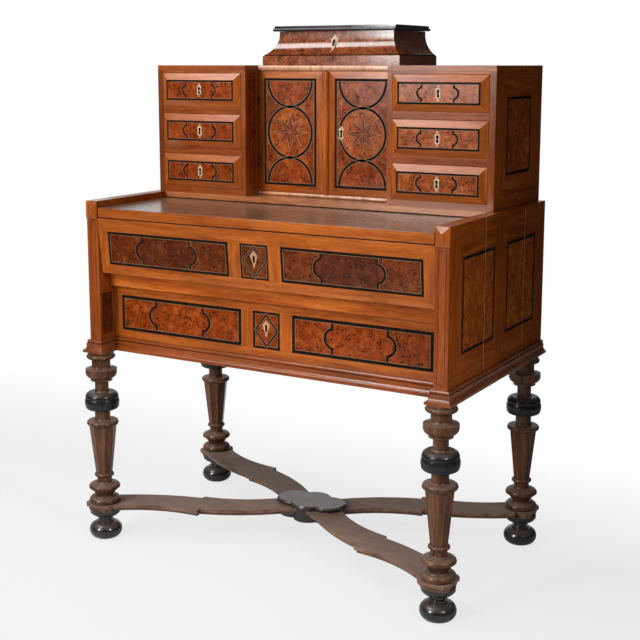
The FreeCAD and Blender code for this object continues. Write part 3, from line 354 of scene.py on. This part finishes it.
# partly painted reflection: the board's brown is greyed to hold the sheen of the pale room on its top
SHEENED_BOARD_WALNUT = ((0.10, 0.050, 0.030), (0.17, 0.092, 0.058), (0.25, 0.145, 0.095))
# painted highlight: the cross-banding's pale pink stands in partly for the highlight along the half-round
# strips
HIGHLIT_STRIP_WALNUT = ((0.40, 0.16, 0.070), (0.58, 0.29, 0.155), (0.70, 0.42, 0.26))
OAK = ((0.17, 0.10, 0.05), (0.27, 0.17, 0.09), (0.36, 0.24, 0.135))
STRING_BOX = ((0.18, 0.095, 0.040), (0.28, 0.16, 0.070), (0.37, 0.23, 0.11))
STAR_RED = ((0.075, 0.011, 0.003), (0.11, 0.017, 0.004), (0.15, 0.028, 0.007))
STAR_BROWN = ((0.12, 0.021, 0.003), (0.17, 0.032, 0.005), (0.22, 0.050, 0.009))
STAR_PALE = ((0.38, 0.13, 0.04), (0.48, 0.19, 0.065), (0.56, 0.25, 0.10))
QUIET_BROWN = ((0.06, 0.013, 0.003), (0.09, 0.020, 0.005), (0.12, 0.030, 0.008))
FILLER = ((0.36, 0.19, 0.10), (0.55, 0.33, 0.20), (0.70, 0.46, 0.30))
BLACK = (0.012, 0.010, 0.0095)

FIGURE = {axis: wood("walnut_grain_" + axis.lower(), WALNUT, axis) for axis in "XZ"}
PLAIN = {axis: wood("post_walnut_grain_" + axis.lower(), POST_WALNUT, axis) for axis in "XZ"}
SHADED = {axis: wood("side_walnut_grain_" + axis.lower(), SIDE_WALNUT, axis, gloss=0.22, finish=DRY)
          for axis in "YZ"}
INSIDE = {axis: wood("oak_grain_" + axis.lower(), OAK, axis, gloss=0.6, wear=0.2, finish=DULL)
          for axis in "XY"}
LIT_RAIL = wood("lit_rail_walnut", LIT_RAIL_WALNUT, "X")
SHEENED_REAR = wood("sheened_rear_walnut", SHEENED_REAR_WALNUT, "X")
MOULDING = wood("moulding_walnut", MOULDING_WALNUT, "Y", gloss=0.24, corner_shade=7)
FRONT_MOULDING = wood("front_moulding_walnut", POST_WALNUT, "X", corner_shade=9)
EDGE = wood("edge_walnut", EDGE_WALNUT, "Z")
TURNED = wood("turned_walnut", LEG_WALNUT, "Z", gloss=0.18, wear=0.45, corner_shade=24, dust_and_sheen=0.5, finish=WAXED)
STRETCHER = wood("stretcher_walnut", STRETCHER_WALNUT, "X", gloss=0.30, wear=0.45, corner_shade=14, dust_and_sheen=0.75,
                 finish=WAXED)
SHEENED_BOARD = wood("sheened_board_walnut", SHEENED_BOARD_WALNUT, "X", gloss=0.26, wear=0.2, finish=RUBBED)
HIGHLIT_CROSS_BAND = wood("highlit_cross_banding", HIGHLIT_STRIP_WALNUT, "Z", gloss=0.16, wear=0.3, finish=LACQUERED)
STRINGING = wood("box_stringing", STRING_BOX, "Z", gloss=0.4, wear=0.0)
STAR_WOODS = (wood("star_red", STAR_RED, "Z", wear=0.0), wood("star_brown", STAR_BROWN, "Z", wear=0.0))
STAR_LINE = wood("star_line", STAR_PALE, "Z", gloss=0.35, wear=0.0)
QUIET_LINE = wood("quiet_line", QUIET_BROWN, "Z", gloss=0.35, wear=0.0)
CRACK = wood("filled_crack", FILLER, "Z", gloss=0.6, wear=0.0, finish=DULL)

ORANGE_BURL = burl("burl_orange", (0.022, 0.004, 0.001), (0.25, 0.038, 0.0025), (0.34, 0.070, 0.006))
AMBER_BURL = burl("burl_amber", (0.020, 0.004, 0.001), (0.13, 0.024, 0.003), (0.19, 0.045, 0.008))
RED_BURL = burl("burl_red", (0.016, 0.004, 0.002), (0.088, 0.016, 0.004), (0.13, 0.030, 0.009))
BRIGHT_BURL = burl("burl_bright", (0.026, 0.005, 0.001), (0.33, 0.064, 0.005), (0.43, 0.105, 0.012))
SIDE_BURL = burl("burl_side", (0.07, 0.014, 0.002), (0.30, 0.066, 0.006), (0.40, 0.105, 0.012),
                 gloss=0.22, finish=DRY)
CASKET_BURL = burl("burl_casket", (0.02, 0.005, 0.002), (0.25, 0.057, 0.013), (0.36, 0.10, 0.028),
                   gloss=0.14, finish=LACQUERED)
EBONY = ebonised("ebonised_wood", BLACK, gloss=0.2, wear=0.5, dust_and_sheen=0.35)
EBONY_BALL = ebonised("ebonised_ball", (0.013, 0.012, 0.0125), gloss=0.22, wear=0.5, dust_and_sheen=0.3,
                      finish=POLISHED)
EBONY_LID = ebonised("ebonised_lid", BLACK, gloss=0.14, wear=0.3)
EBONY_BAND = ebonised("ebonised_band", (0.012, 0.008, 0.005), gloss=0.45, finish=DRY)
# painted shade: the black that stands for the dark inside a keyhole
KEYHOLE_SHADE = ebonised("keyhole_shade", (0.002, 0.002, 0.002), gloss=0.6, finish=DRY)
BONE = bone("old_bone", (0.34, 0.21, 0.11), (0.55, 0.39, 0.24), (0.67, 0.53, 0.36))
TAN_BONE = bone("tan_bone", (0.27, 0.135, 0.055), (0.45, 0.25, 0.12), (0.56, 0.35, 0.185))
IRON = iron("wrought_iron")

# Finishes of the CAD nodes by the start of their names, where the longest one that fits counts
FINISHES = {
    "leg_": TURNED,
    "leg_balls": EBONY_BALL,
    "bun_feet": EBONY,
    "stretcher_": STRETCHER,
    "stretcher_boss": EBONY,
    "cheek_": SHADED["Z"],
    "posts": PLAIN["Z"],
    "post_caps": FIGURE["Z"],
    "base_moulding_sides": MOULDING,
    "base_moulding_front": FRONT_MOULDING,
    "middle_rail": LIT_RAIL,
    "case_bottom": INSIDE["X"],
    "case_back": INSIDE["X"],
    "runners": INSIDE["Y"],
    "rear_top": SHEENED_REAR,
    "writing_board": SHEENED_BOARD,
    "upper_drawer_front": FIGURE["X"],
    "lower_drawer_front": FIGURE["X"],
    "upper_drawer_box": INSIDE["Y"],
    "lower_drawer_box": INSIDE["Y"],
    "upper_side_": EDGE,
    "partitions": PLAIN["Z"],
    "stack_shelves": PLAIN["X"],
    "upper_top": PLAIN["X"],
    "upper_back": INSIDE["X"],
    "cupboard_floor": PLAIN["X"],
    "small_drawer_": FIGURE["X"],
    "door_": FIGURE["Z"],
    "casket_plinth": CASKET_BURL,
    "casket_walls": CASKET_BURL,
    "casket_lid": EBONY_LID,
}


def edges(node):
    """Give a CAD node's lowest and highest corners in millimetres."""
    low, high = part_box(node)
    return low / MM, high / MM


class Face:
    """A flat face of the desk in millimetres, with u along it, v up it and its outward normal."""

    def __init__(self, origin, u, v=(0, 0, 1)):
        self.origin = Vector(origin)
        self.u = Vector(u).normalized()
        self.v = Vector(v).normalized()
        self.out = self.u.cross(self.v)

    def at(self, u, v):
        return self.origin + self.u * u + self.v * v


class Inlay:
    """Thin plates let into the desk's surfaces, gathered in one piece that rides on a body."""

    def __init__(self, name, body, slot):
        self.name, self.body, self.slot = name, body, slot
        self.mesh = bmesh.new()
        self.materials = []

    def number(self, material):
        if material not in self.materials:
            self.materials.append(material)
        return self.materials.index(material)

    def skin(self, corners, material):
        face = self.mesh.faces.new(corners)
        face.material_index = self.number(material)

    def corner(self, point):
        return self.mesh.verts.new(point * MM)

    def slab(self, points, out, material, proud=VENEER):
        """Add a closed plate over a flat outline in space."""
        top = [self.corner(point + out * proud) for point in points]
        foot = [self.corner(point - out * SINK) for point in points]
        self.skin(top, material)
        self.skin(foot[::-1], material)
        for number in range(len(points)):
            self.skin((top[number - 1], foot[number - 1], foot[number], top[number]), material)

    def plate(self, face, outline, material, proud=VENEER):
        self.slab([face.at(u, v) for u, v in outline], face.out, material, proud)

    def ribbon(self, face, path, width, material, proud, closed=False, shift=0.0):
        """Add a strip of a width along a path, mitred at its corners."""
        rails = []
        for side in (shift + width / 2, shift - width / 2):
            points = [face.at(u, v) for u, v in beside(path, side, closed)]
            rails.append([self.corner(point + face.out * proud) for point in points])
            rails.append([self.corner(point - face.out * SINK) for point in points])
        loop = (rails[0], rails[1], rails[3], rails[2])
        first = 0 if closed else 1
        for number in range(first, len(path)):
            for one, other in zip(loop, loop[1:] + loop[:1]):
                self.skin((one[number - 1], one[number], other[number], other[number - 1]), material)
        if not closed:
            self.skin([rail[0] for rail in loop], material)
            self.skin([rail[-1] for rail in loop][::-1], material)

    def bead(self, face, box, proud, material, count=12):
        """Add a half-round bar over a box of (u, v, u, v)."""
        u0, v0, u1, v1 = box
        half = (v1 - v0) / 2
        section = [(x * proud / half, v) for x, v in arc((0, v0 + half), half, -90, 90, count)]
        section = [(-SINK, v0)] + section + [(-SINK, v1)]
        left, right = ([self.corner(face.at(u, v) + face.out * x) for x, v in section] for u in (u0, u1))
        self.skin(left, material)
        self.skin(right[::-1], material)
        for number in range(len(section)):
            self.skin((left[number - 1], left[number], right[number], right[number - 1]), material)

    def mitre(self, face, box, field, rail, stile, proud=VENEER):
        """Add a mitred frame of two stiles and two rails between two boxes."""
        outer, inner = rectangle(box), rectangle(field)
        for number, material in enumerate((stile, rail, stile, rail)):
            outline = (outer[number - 1], outer[number], inner[number], inner[number - 1])
            self.plate(face, outline, material, proud)

    def panel(self, face, box, width, line, ground):
        """Add a figured panel in a border of a width."""
        field = shrunk(box, width)
        self.mitre(face, box, field, line, line, BAND)
        self.plate(face, rectangle(field), ground, BURL)

    def finish(self):
        bmesh.ops.recalc_face_normals(self.mesh, faces=self.mesh.faces)
        data = bpy.data.meshes.new(self.name)
        self.mesh.to_mesh(data)
        self.mesh.free()
        for material in self.materials:
            data.materials.append(material)
        piece = bpy.data.objects.new(self.name, data)
        scene.collection.objects.link(piece)
        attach(piece, self.body)


def rectangle(box):
    u0, v0, u1, v1 = box
    return [(u0, v0), (u1, v0), (u1, v1), (u0, v1)]


def shrunk(box, margin):
    u0, v0, u1, v1 = box
    return (u0 + margin, v0 + margin, u1 - margin, v1 - margin)


def mirrored(box):
    u0, v0, u1, v1 = box
    return (-u1, v0, -u0, v1)


def arc(centre, radius, start, end, count=24):
    """Give points on an arc, with its angles in degrees."""
    angles = [math.radians(start + (end - start) * number / count) for number in range(count + 1)]
    return [(centre[0] + radius * math.cos(angle), centre[1] + radius * math.sin(angle))
            for angle in angles]


def beside(path, distance, closed):
    """Give a path's points moved to its left by a distance, mitred at the corners."""
    moved = []
    count = len(path)
    for number, (u, v) in enumerate(path):
        normals = []
        for start in (number - 1, number):
            if closed or 0 <= start < count - 1:
                one, other = Vector(path[start % count]), Vector(path[(start + 1) % count])
                run = (other - one).normalized()
                normals.append(Vector((-run.y, run.x)))
        middle = sum(normals, Vector((0, 0))).normalized()
        reach = distance / max(middle.dot(normals[0]), 0.3)
        moved.append((u + middle.x * reach, v + middle.y * reach))
    return moved


def bracket(u, foot, top, side):
    """Give a divider's path: straight at both ends, with a round bow to one side between them."""
    middle, height = (foot + top) / 2, top - foot
    half, depth = BOW_HALF * height, BOW_DEPTH * height
    radius = (half * half + depth * depth) / (2 * depth)
    swing = math.degrees(math.asin(half / radius))
    bow = arc((depth - radius, middle), radius, -swing, swing)
    return [(u, foot)] + [(u + side * x, v) for x, v in bow] + [(u, top)]


def lined(inlay, face, path, band, closed=False, lines=(-1, 1)):
    """Lay a black band along a path, with thin pale lines on its right (-1), its left (1) or both."""
    inlay.ribbon(face, path, band, EBONY_BAND, BAND, closed)
    for edge in lines:
        shift = edge * (band + STRING_WIDTH) / 2
        inlay.ribbon(face, path, STRING_WIDTH, STRINGING, STRING, closed, shift)


def bordered(inlay, face, box, band, material):
    """Lay a panel in a black band with a pale line on its inner side, and give the panel's box."""
    line = shrunk(box, band)
    inlay.mitre(face, box, line, EBONY_BAND, EBONY_BAND, BAND)
    field = shrunk(line, STRING_WIDTH)
    inlay.mitre(face, line, field, STRINGING, STRINGING, STRING)
    inlay.plate(face, rectangle(field), material, BURL)
    return field


def divided(inlay, face, field, band, material):
    """Part a panel in three by bracket-shaped bands, with a veneer of its own in the middle."""
    u0, v0, u1, v1 = field
    paths = []
    for share, side in DIVIDERS:
        path = bracket(u0 + share * (u1 - u0), v0, v1, side)
        lined(inlay, face, path, band, lines=(-side,))
        paths.append(path)
    inlay.plate(face, paths[1] + paths[0][::-1], material, CENTRE)


def keyhole(inlay, face, v=0, width=4.4, foot=-6.4, top=9.4, proud=FILLING):
    """Lay a keyhole's painted shade in black: behind it in the middle of a face, or round it on its plate.
    """
    half = width / 2
    outline = [(-half, v + foot), (half, v + foot)] + arc((0, v + top - half), half, 0, 180, 8)
    inlay.plate(face, outline, KEYHOLE_SHADE, proud)


def long_drawer(name, face, half, height, panel, foot, head, lock_half, lock_height, band, ends, centre):
    """Inlay of a long drawer: mitred frame, two divided panels and the lock's panel with its diamond."""
    inlay = Inlay(name + "_inlay", name, "walnut")
    inner, outer = panel
    inlay.mitre(face, (-half, 0, half, height), (-outer, foot, outer, head), FIGURE["X"], FIGURE["Z"])
    for side in (-1, 1):
        near, far = sorted((side * inner, side * outer))
        field = bordered(inlay, face, (near, foot, far, head), band, ends)
        divided(inlay, face, field, band * 0.8, centre)
        near, far = sorted((side * lock_half, side * inner))
        inlay.plate(face, rectangle((near, foot, far, head)), FIGURE["Z"])
    u0, v0, u1, v1 = bordered(inlay, face, (-lock_half, foot, lock_half, head), band * 0.75, ends)
    middle = (v0 + v1) / 2
    diamond = [(0, v0), (u1, middle), (0, v1), (u0, middle)]
    lined(inlay, face, diamond, band * 0.6, closed=True)
    # painted shade: the keyhole laid black on the lock's plate
    keyhole(inlay, face, lock_height, LONG_KEYHOLE_WIDTH, proud=ON_PLATE)
    inlay.finish()


def make_long_drawers():
    low, high = edges("upper_drawer_front")
    rise = high.z - low.z
    face = Face((0, low.y + DRAWER_CANT, low.z), (1, 0, 0), (0, -DRAWER_CANT, rise))
    height = math.hypot(DRAWER_CANT, rise)
    plate_low, plate_high = edges("upper_drawer_escutcheon")
    lock = ((plate_low.z + plate_high.z) / 2 - low.z) * height / rise
    long_drawer("upper_drawer", face, high.x, height, panel=(67.5, 402), foot=22.3, head=100.2,
                lock_half=35.5, lock_height=lock, band=6.0, ends=AMBER_BURL, centre=RED_BURL)
    low, high = edges("lower_drawer_front")
    face = Face((0, low.y, low.z), (1, 0, 0))
    plate_low, plate_high = edges("lower_drawer_escutcheon")
    lock = (plate_low.z + plate_high.z) / 2 - low.z
    long_drawer("lower_drawer", face, high.x, high.z - low.z, panel=(66.5, 405), foot=19.7, head=103.7,
                lock_half=35, lock_height=lock, band=7.4, ends=ORANGE_BURL, centre=ORANGE_BURL)


def raised_field(inlay, low, high, bevel, rise):
    """Veneer the four slopes of a raised panel that faces the front, and give the face of its field.

    low and high are the panel's corners at the foot of the slopes. The face's origin is the field's
    middle.
    """
    outer = [Vector((x, high.y, z)) for x, z in rectangle((low.x, low.z, high.x, high.z))]
    field = shrunk((low.x, low.z, high.x, high.z), bevel)
    inner = [Vector((x, high.y - rise, z)) for x, z in rectangle(field)]
    for number, material in enumerate((FIGURE["Z"], FIGURE["X"], FIGURE["Z"], FIGURE["X"])):
        corners = (outer[number - 1], outer[number], inner[number], inner[number - 1])
        out = (corners[1] - corners[0]).cross(corners[2] - corners[1]).normalized()
        inlay.slab(corners, out, material)
    middle = Vector(((low.x + high.x) / 2, high.y - rise, (low.z + high.z) / 2))
    half_width, half_height = (field[2] - field[0]) / 2, (field[3] - field[1]) / 2
    return Face(middle, (1, 0, 0)), (-half_width, -half_height, half_width, half_height)


def shield(width, waist, height, steps=6):
    """Give the outline of an upright plate with a drawn-in waist and blunt points."""
    half, shoulder = width / 2, height / 2 - width / 4
    draw = (width - waist) / 2
    right = []
    for number in range(-steps, steps + 1):
        share = number / steps
        right.append((half - draw * (1 - share * share), shoulder * share))
    left = [(-u, -v) for u, v in right]
    return [(0, -height / 2)] + right + [(0, height / 2)] + left


def small_plate(name, body, face, shielded=True):
    """Bone plate with a wide keyhole, laid in black as painted shade, and a crescent above and below. The
    door's shield is a node.
    """
    plate = Inlay(name, body, "bone")
    if shielded:
        plate.plate(face, shield(width=13, waist=11, height=25), BONE, PLATE)
    for side, turn in ((-1, 0), (1, 180)):
        edge = arc((0, side * ROUND_DISTANCE), ROUND_RADIUS, turn + 20, turn + 160, 10)
        hollow = arc((0, side * HOLLOW_DISTANCE), HOLLOW_RADIUS, turn + 135, turn + 45, 10)
        plate.plate(face, edge + hollow, BONE, CRESCENT)
    head = arc((0, KEY_HEAD_HEIGHT), KEY_HEAD_RADIUS, -55, 235, 14)
    plate.plate(face, head + KEY_SLOT, KEYHOLE_SHADE, ON_PLATE)
    plate.finish()


def make_small_drawers():
    for side in SIDES:
        # painted sheen: the right stack's fields get the brighter burl, for the sheen of the light on that
        # side
        ground = BRIGHT_BURL if side == "right" else ORANGE_BURL
        for level in ("bottom", "middle", "top"):
            body = f"small_drawer_{side}_{level}"
            low, high = edges(body + "_front")
            high.y = low.y + SMALL_RISE
            inlay = Inlay(body + "_inlay", body, "walnut")
            face, box = raised_field(inlay, low, high, SMALL_BEVEL, SMALL_RISE)
            field = bordered(inlay, face, box, SMALL_BAND, ground)
            divided(inlay, face, field, SMALL_BAND, ground)
            inlay.finish()
            small_plate(body + "_plate", body, face)


def star(inlay, face, points=8):
    """Lay a two-tone star of pointed kites with pale edges in the middle of a face."""
    centre = (0, 0)
    tips = []
    for number in range(2 * points):
        radius = STAR_REACH if number % 2 == 0 else STAR_VALLEY
        angle = math.pi * number / points + math.pi / 2
        tips.append((radius * math.cos(angle), radius * math.sin(angle)))
    for number in range(2 * points):
        inlay.plate(face, (centre, tips[number - 1], tips[number]), STAR_WOODS[number % 2], BAND)
        if number % 2 == 0:
            inlay.ribbon(face, (centre, tips[number]), STAR_RIB, STAR_LINE, STRING)
    inlay.ribbon(face, tips, STAR_EDGE, STAR_LINE, STRING, closed=True)


def make_doors():
    for side in SIDES:
        body = "door_" + side
        low, high = edges(body)
        high.y = low.y + DOOR_RISE
        if side == "right":
            low.x = edges("door_strip")[1].x
        inlay = Inlay(body + "_inlay", body, "walnut")
        face, box = raised_field(inlay, low, high, DOOR_BEVEL, DOOR_RISE)
        field = bordered(inlay, face, box, DOOR_BAND, ORANGE_BURL)
        radius = min(field[2] - DOOR_BAND / 2 - STRING_WIDTH, field[3] / 2)
        circle = arc((0, 0), radius, 0, 360, 64)[:-1]
        inlay.plate(face, circle, BRIGHT_BURL, CENTRE)
        lined(inlay, face, circle, DOOR_BAND, closed=True)
        star(inlay, face)
        for end, start in ((field[1], 0), (field[3], 180)):
            lined(inlay, face, arc((0, end), radius, start, start + 180, 32), DOOR_BAND)
        if side == "right":
            plate_low, plate_high = edges("door_escutcheon")
            middle = (plate_low + plate_high) / 2 - face.origin
            spot = Face(face.at(middle.x, middle.z), (1, 0, 0))
            small_plate("door_plate", body, spot, shielded=False)
        inlay.finish()


def make_posts():
    """Strips of the posts and the panels on the inner faces beside the lower drawer."""
    front, plinth = edges("posts")[0].y, edges("base_moulding_sides")[1].z
    inner, outer = edges("cheek_right")[0].x, edges("cheek_right")[1].x
    head = edges("post_caps")[0].z - plinth - POST_STRIP_HEAD
    reveal = edges("lower_drawer_front")[0].y - front
    inlay = Inlay("post_inlay", "frame", "walnut")
    for sign in SIDES.values():
        face = Face((sign * (inner + outer) / 2, front, plinth), (1, 0, 0))
        strip = (-POST_STRIP_HALF, POST_STRIP_FOOT, POST_STRIP_HALF, head)
        inlay.panel(face, strip, POST_LINE, QUIET_LINE, PLAIN["Z"])
        face = Face((sign * inner, front + reveal / 2, plinth), (0, -sign, 0))
        inlay.panel(face, REVEAL_PANEL, REVEAL_LINE, EBONY_BAND, RED_BURL)
    inlay.finish()


def crack(inlay, face, u, foot, top, steps=28):
    """Lay the pale filling of a wandering upright crack."""
    path = []
    for number in range(steps + 1):
        sway = sum(reach * math.sin(pace * number + start) for reach, pace, start in CRACK_SWAYS)
        path.append((u + sway, foot + (top - foot) * number / steps))
    inlay.ribbon(face, path, CRACK_WIDTH, CRACK, FILLING)


def make_cheeks():
    """Two framed panels on each cheek, with two filled cracks through those of the right one."""
    front, plinth = edges("posts")[0].y, edges("base_moulding_sides")[1].z
    outer, back, top = edges("cheek_right")[1]
    middle, depth, height = (front + back) / 2, (back - front) / 2, top - plinth
    for side, sign in SIDES.items():
        inlay = Inlay(f"cheek_{side}_inlay", "frame", "walnut")
        face = Face((sign * outer, middle, plinth), (0, sign, 0))
        for (start, end), field in zip(((-depth, 0), (0, depth)), CHEEK_PANELS):
            box = (start, CHEEK_MARGIN, end, height - CHEEK_MARGIN)
            if sign < 0:
                box, field = mirrored(box), mirrored(field)
            inlay.mitre(face, box, field, SHADED["Y"], SHADED["Z"])
            inlay.panel(face, field, CHEEK_BAND, EBONY_BAND, SIDE_BURL)
        if side == "right":
            for place in CRACKS:
                crack(inlay, face, place - middle, 2 * CHEEK_MARGIN, height - 2 * CHEEK_MARGIN)
        inlay.finish()


def make_board_lipping():
    low, high = edges("writing_board")
    inlay = Inlay("board_lipping", "writing_board", "walnut")
    face = Face((0, low.y, low.z), (1, 0, 0))
    edge = (low.x, LIPPING_MARGIN, high.x, high.z - low.z - LIPPING_MARGIN)
    inlay.plate(face, rectangle(edge), FIGURE["X"])
    inlay.finish()


def make_upper_sides():
    """One framed panel on each side of the superstructure."""
    low, high = edges("upper_side_right")
    half, height = (high.y - low.y) / 2, edges("upper_top")[1].z - low.z
    for side, sign in SIDES.items():
        inlay = Inlay(f"upper_side_{side}_inlay", "frame", "walnut")
        face = Face((sign * high.x, (low.y + high.y) / 2, low.z), (0, sign, 0))
        field = UPPER_PANEL if sign > 0 else mirrored(UPPER_PANEL)
        box = (-half, UPPER_MARGIN, half, height - UPPER_MARGIN)
        inlay.mitre(face, box, field, SHADED["Y"], SHADED["Z"])
        inlay.panel(face, field, UPPER_BAND, EBONY_BAND, SIDE_BURL)
        inlay.finish()


def make_cupboard_inlay():
    """Panels on the reveals beside the doors, and the half-round strips above and below them."""
    front, edge = edges("partitions")[0].y, edges("cupboard_floor")[0].y
    floor, ceiling = edges("cupboard_floor")[1].z, edges("upper_top")[0].z
    half = edges("cupboard_floor")[1].x
    inlay = Inlay("reveal_inlay", "frame", "walnut")
    for sign in SIDES.values():
        face = Face((sign * half, (front + edge) / 2, floor), (0, -sign, 0))
        panel = (-CUPBOARD_PANEL_HALF, CUPBOARD_PANEL_MARGIN,
                 CUPBOARD_PANEL_HALF, ceiling - floor - CUPBOARD_PANEL_MARGIN)
        inlay.panel(face, panel, CUPBOARD_LINE, EBONY_BAND, ORANGE_BURL)
    inlay.finish()
    inlay = Inlay("highlit_cross_banding", "frame", "walnut")
    for foot, top in ((edges("cupboard_floor")[0].z, floor), (ceiling, edges("upper_top")[1].z)):
        face = Face((0, edge, foot), (1, 0, 0))
        box = (BEAD_END - half, BEAD_EDGE, half - BEAD_END, top - foot - BEAD_EDGE)
        inlay.bead(face, box, STRIP_RISE, HIGHLIT_CROSS_BAND)
    inlay.finish()


def make_casket_line():
    """Black line round the foot of the casket's hollow, and black behind its keyhole as painted shade."""
    low, high = edges("casket_walls")
    inlay = Inlay("casket_line", "frame", "ebonised")
    face = Face((0, low.y, low.z), (1, 0, 0))
    inlay.plate(face, rectangle((low.x, LINE_FOOT, high.x, LINE_TOP)), EBONY_BAND, BAND)
    half = (high.y - low.y) / 2
    for sign in SIDES.values():
        face = Face((sign * high.x, (low.y + high.y) / 2, low.z), (0, sign, 0))
        inlay.plate(face, rectangle((-half, LINE_FOOT, half, LINE_TOP)), EBONY_BAND, BAND)
    lean = math.radians(HOLLOW_LEAN)
    plate_low, plate_high = edges("casket_escutcheon")
    middle = (plate_low + plate_high) / 2
    face = Face((0, middle.y, middle.z), (1, 0, 0), (0, math.sin(lean), math.cos(lean)))
    keyhole(inlay, face)
    inlay.finish()


def finish_of(name):
    """Give a CAD node's finish: hinges, plates and small boxes by a word, the rest by the name's start."""
    if "hinge" in name:
        return IRON
    if name.endswith("escutcheon"):
        return TAN_BONE if "drawer" in name else BONE
    if name.startswith("small_drawer") and name.endswith("_box"):
        return INSIDE["Y"]
    return FINISHES[max((start for start in FINISHES if name.startswith(start)), key=len)]


def paint_nodes():
    for name, node in nodes.items():
        node.data.materials.clear()
        node.data.materials.append(finish_of(name))


def make_floor():
    """Pale round of floor, faintly grey before and under the desk and white behind it and around."""
    mesh = bmesh.new()
    bmesh.ops.create_circle(mesh, cap_ends=True, segments=96, radius=FLOOR_EDGE)
    data = bpy.data.meshes.new("floor")
    mesh.to_mesh(data)
    mesh.free()
    floor = bpy.data.objects.new("floor", data)
    scene.collection.objects.link(floor)
    material = bpy.data.materials.new("pale_floor")
    material.use_nodes = True
    tree = NodeTree(material.node_tree)
    shader = material.node_tree.nodes["Principled BSDF"]
    grey = {"Base Color": (0.58, 0.58, 0.58, 1), "Roughness": 0.9, "Specular IOR Level": 0.1}
    tree.wire(shader, grey)
    place = tree.add("TexCoord", "Object")
    distance = tree.add("VectorMath", "Value", {0: place}, operation="LENGTH")
    outward = tree.fade(distance, 0.70 * FLOOR_EDGE, 0.95 * FLOOR_EDGE)
    backward = tree.fade(tree.add("SeparateXYZ", "Y", {0: place}), 0.2, 0.9)
    away = tree.math("MAXIMUM", outward, backward)
    bearing = tree.add("VectorMath", 0, {0: place}, operation="NORMALIZE")
    behind = tree.math("MULTIPLY", away, tree.fade(tree.dot(bearing, BACKDROP), *BACKDROP_EDGE))
    reflected = tree.math("MULTIPLY", tree.add("LightPath", "Is Glossy Ray"), behind)
    seen = tree.math("MAXIMUM", tree.add("LightPath", "Is Camera Ray"), reflected)
    seen = tree.math("MAXIMUM", seen, tree.add("LightPath", "Is Transmission Ray"))
    glow = tree.fade(away, 0.0, 1.0, 0.96, 1.0)
    white = tree.add("Emission", 0, {"Color": WHITE, "Strength": glow})
    share = tree.math("MULTIPLY", tree.fade(away, 0.0, 1.0, 0.78, 1.0), seen)
    mixed = tree.add("MixShader", 0, {0: share, 1: shader.outputs[0], 2: white})
    tree.wire(material.node_tree.nodes["Material Output"], {"Surface": mixed})
    data.materials.append(material)


def make_world():
    """White for the camera, a white backdrop for gloss, and soft light from the front left."""
    world = bpy.data.worlds.new("studio")
    scene.world = world
    world.use_nodes = True
    tree = NodeTree(world.node_tree)
    around = tree.add("TexCoord", "Generated")
    gloss = tree.fade(tree.dot(around, BACKDROP), *BACKDROP_EDGE, 0.04, 1.0)
    glow = tree.add("Background", 0, {"Color": WHITE, "Strength": gloss})
    lamp = tree.fade(tree.dot(around, SOFT_FROM), -0.3, 0.9, 0.01, 0.6)
    soft = tree.add("Background", 0, {"Color": WHITE, "Strength": lamp})
    white = tree.add("Background", 0, {"Color": WHITE, "Strength": 1.0})
    glossy = tree.add("LightPath", "Is Glossy Ray")
    through = tree.add("LightPath", "Is Transmission Ray")
    seen = tree.math("MAXIMUM", tree.add("LightPath", "Is Camera Ray"), through)
    lit = tree.add("MixShader", 0, {0: glossy, 1: soft, 2: glow})
    mixed = tree.add("MixShader", 0, {0: seen, 1: lit, 2: white})
    tree.wire(world.node_tree.nodes["World Output"], {"Surface": mixed})


def softbox(name, place, size, power, target, spread=180):
    """Add a soft lamp. Spread is the angle in degrees that its grid leaves open."""
    data = bpy.data.lights.new(name, "AREA")
    data.spread = math.radians(spread)
    data.shape = "RECTANGLE"
    data.size, data.size_y = size
    data.energy = power
    lamp = bpy.data.objects.new(name, data)
    scene.collection.objects.link(lamp)
    lamp.location = place
    lamp.rotation_euler = (Vector(target) - Vector(place)).to_track_quat("-Z", "Y").to_euler()
    lamp.visible_camera = False


def make_lights():
    softbox("key", place=(-1.3, -3.5, 2.1), size=(0.9, 2.0), power=106, target=(0, 0, 0.75))
    softbox("fill", place=(1.45, -0.85, 1.25), size=(0.3, 0.8), power=1.8, target=(0.3, -0.55, 0.62),
            spread=56)
    softbox("top", place=(-1.45, -1.3, 3.2), size=(1.6, 0.8), power=38, target=(0, 0, 0.9))


def make_camera():
    tilt, turn = 9.573, 30.367
    data = bpy.data.cameras.new("camera")
    data.sensor_width = 36
    data.lens = 67.98
    data.shift_x, data.shift_y = 0.00986, -0.0815
    camera = bpy.data.objects.new("camera", data)
    scene.collection.objects.link(camera)
    camera.location = (1.4084, -2.3992, 1.1335)
    camera.rotation_euler = (math.radians(90 - tilt), 0, math.radians(turn))
    scene.camera = camera


scene.view_settings.view_transform = "Standard"
make_camera()
make_floor()
make_world()
make_lights()
paint_nodes()
make_long_drawers()
make_small_drawers()
make_doors()
make_posts()
make_cheeks()
make_board_lipping()
make_upper_sides()
make_cupboard_inlay()
make_casket_line()
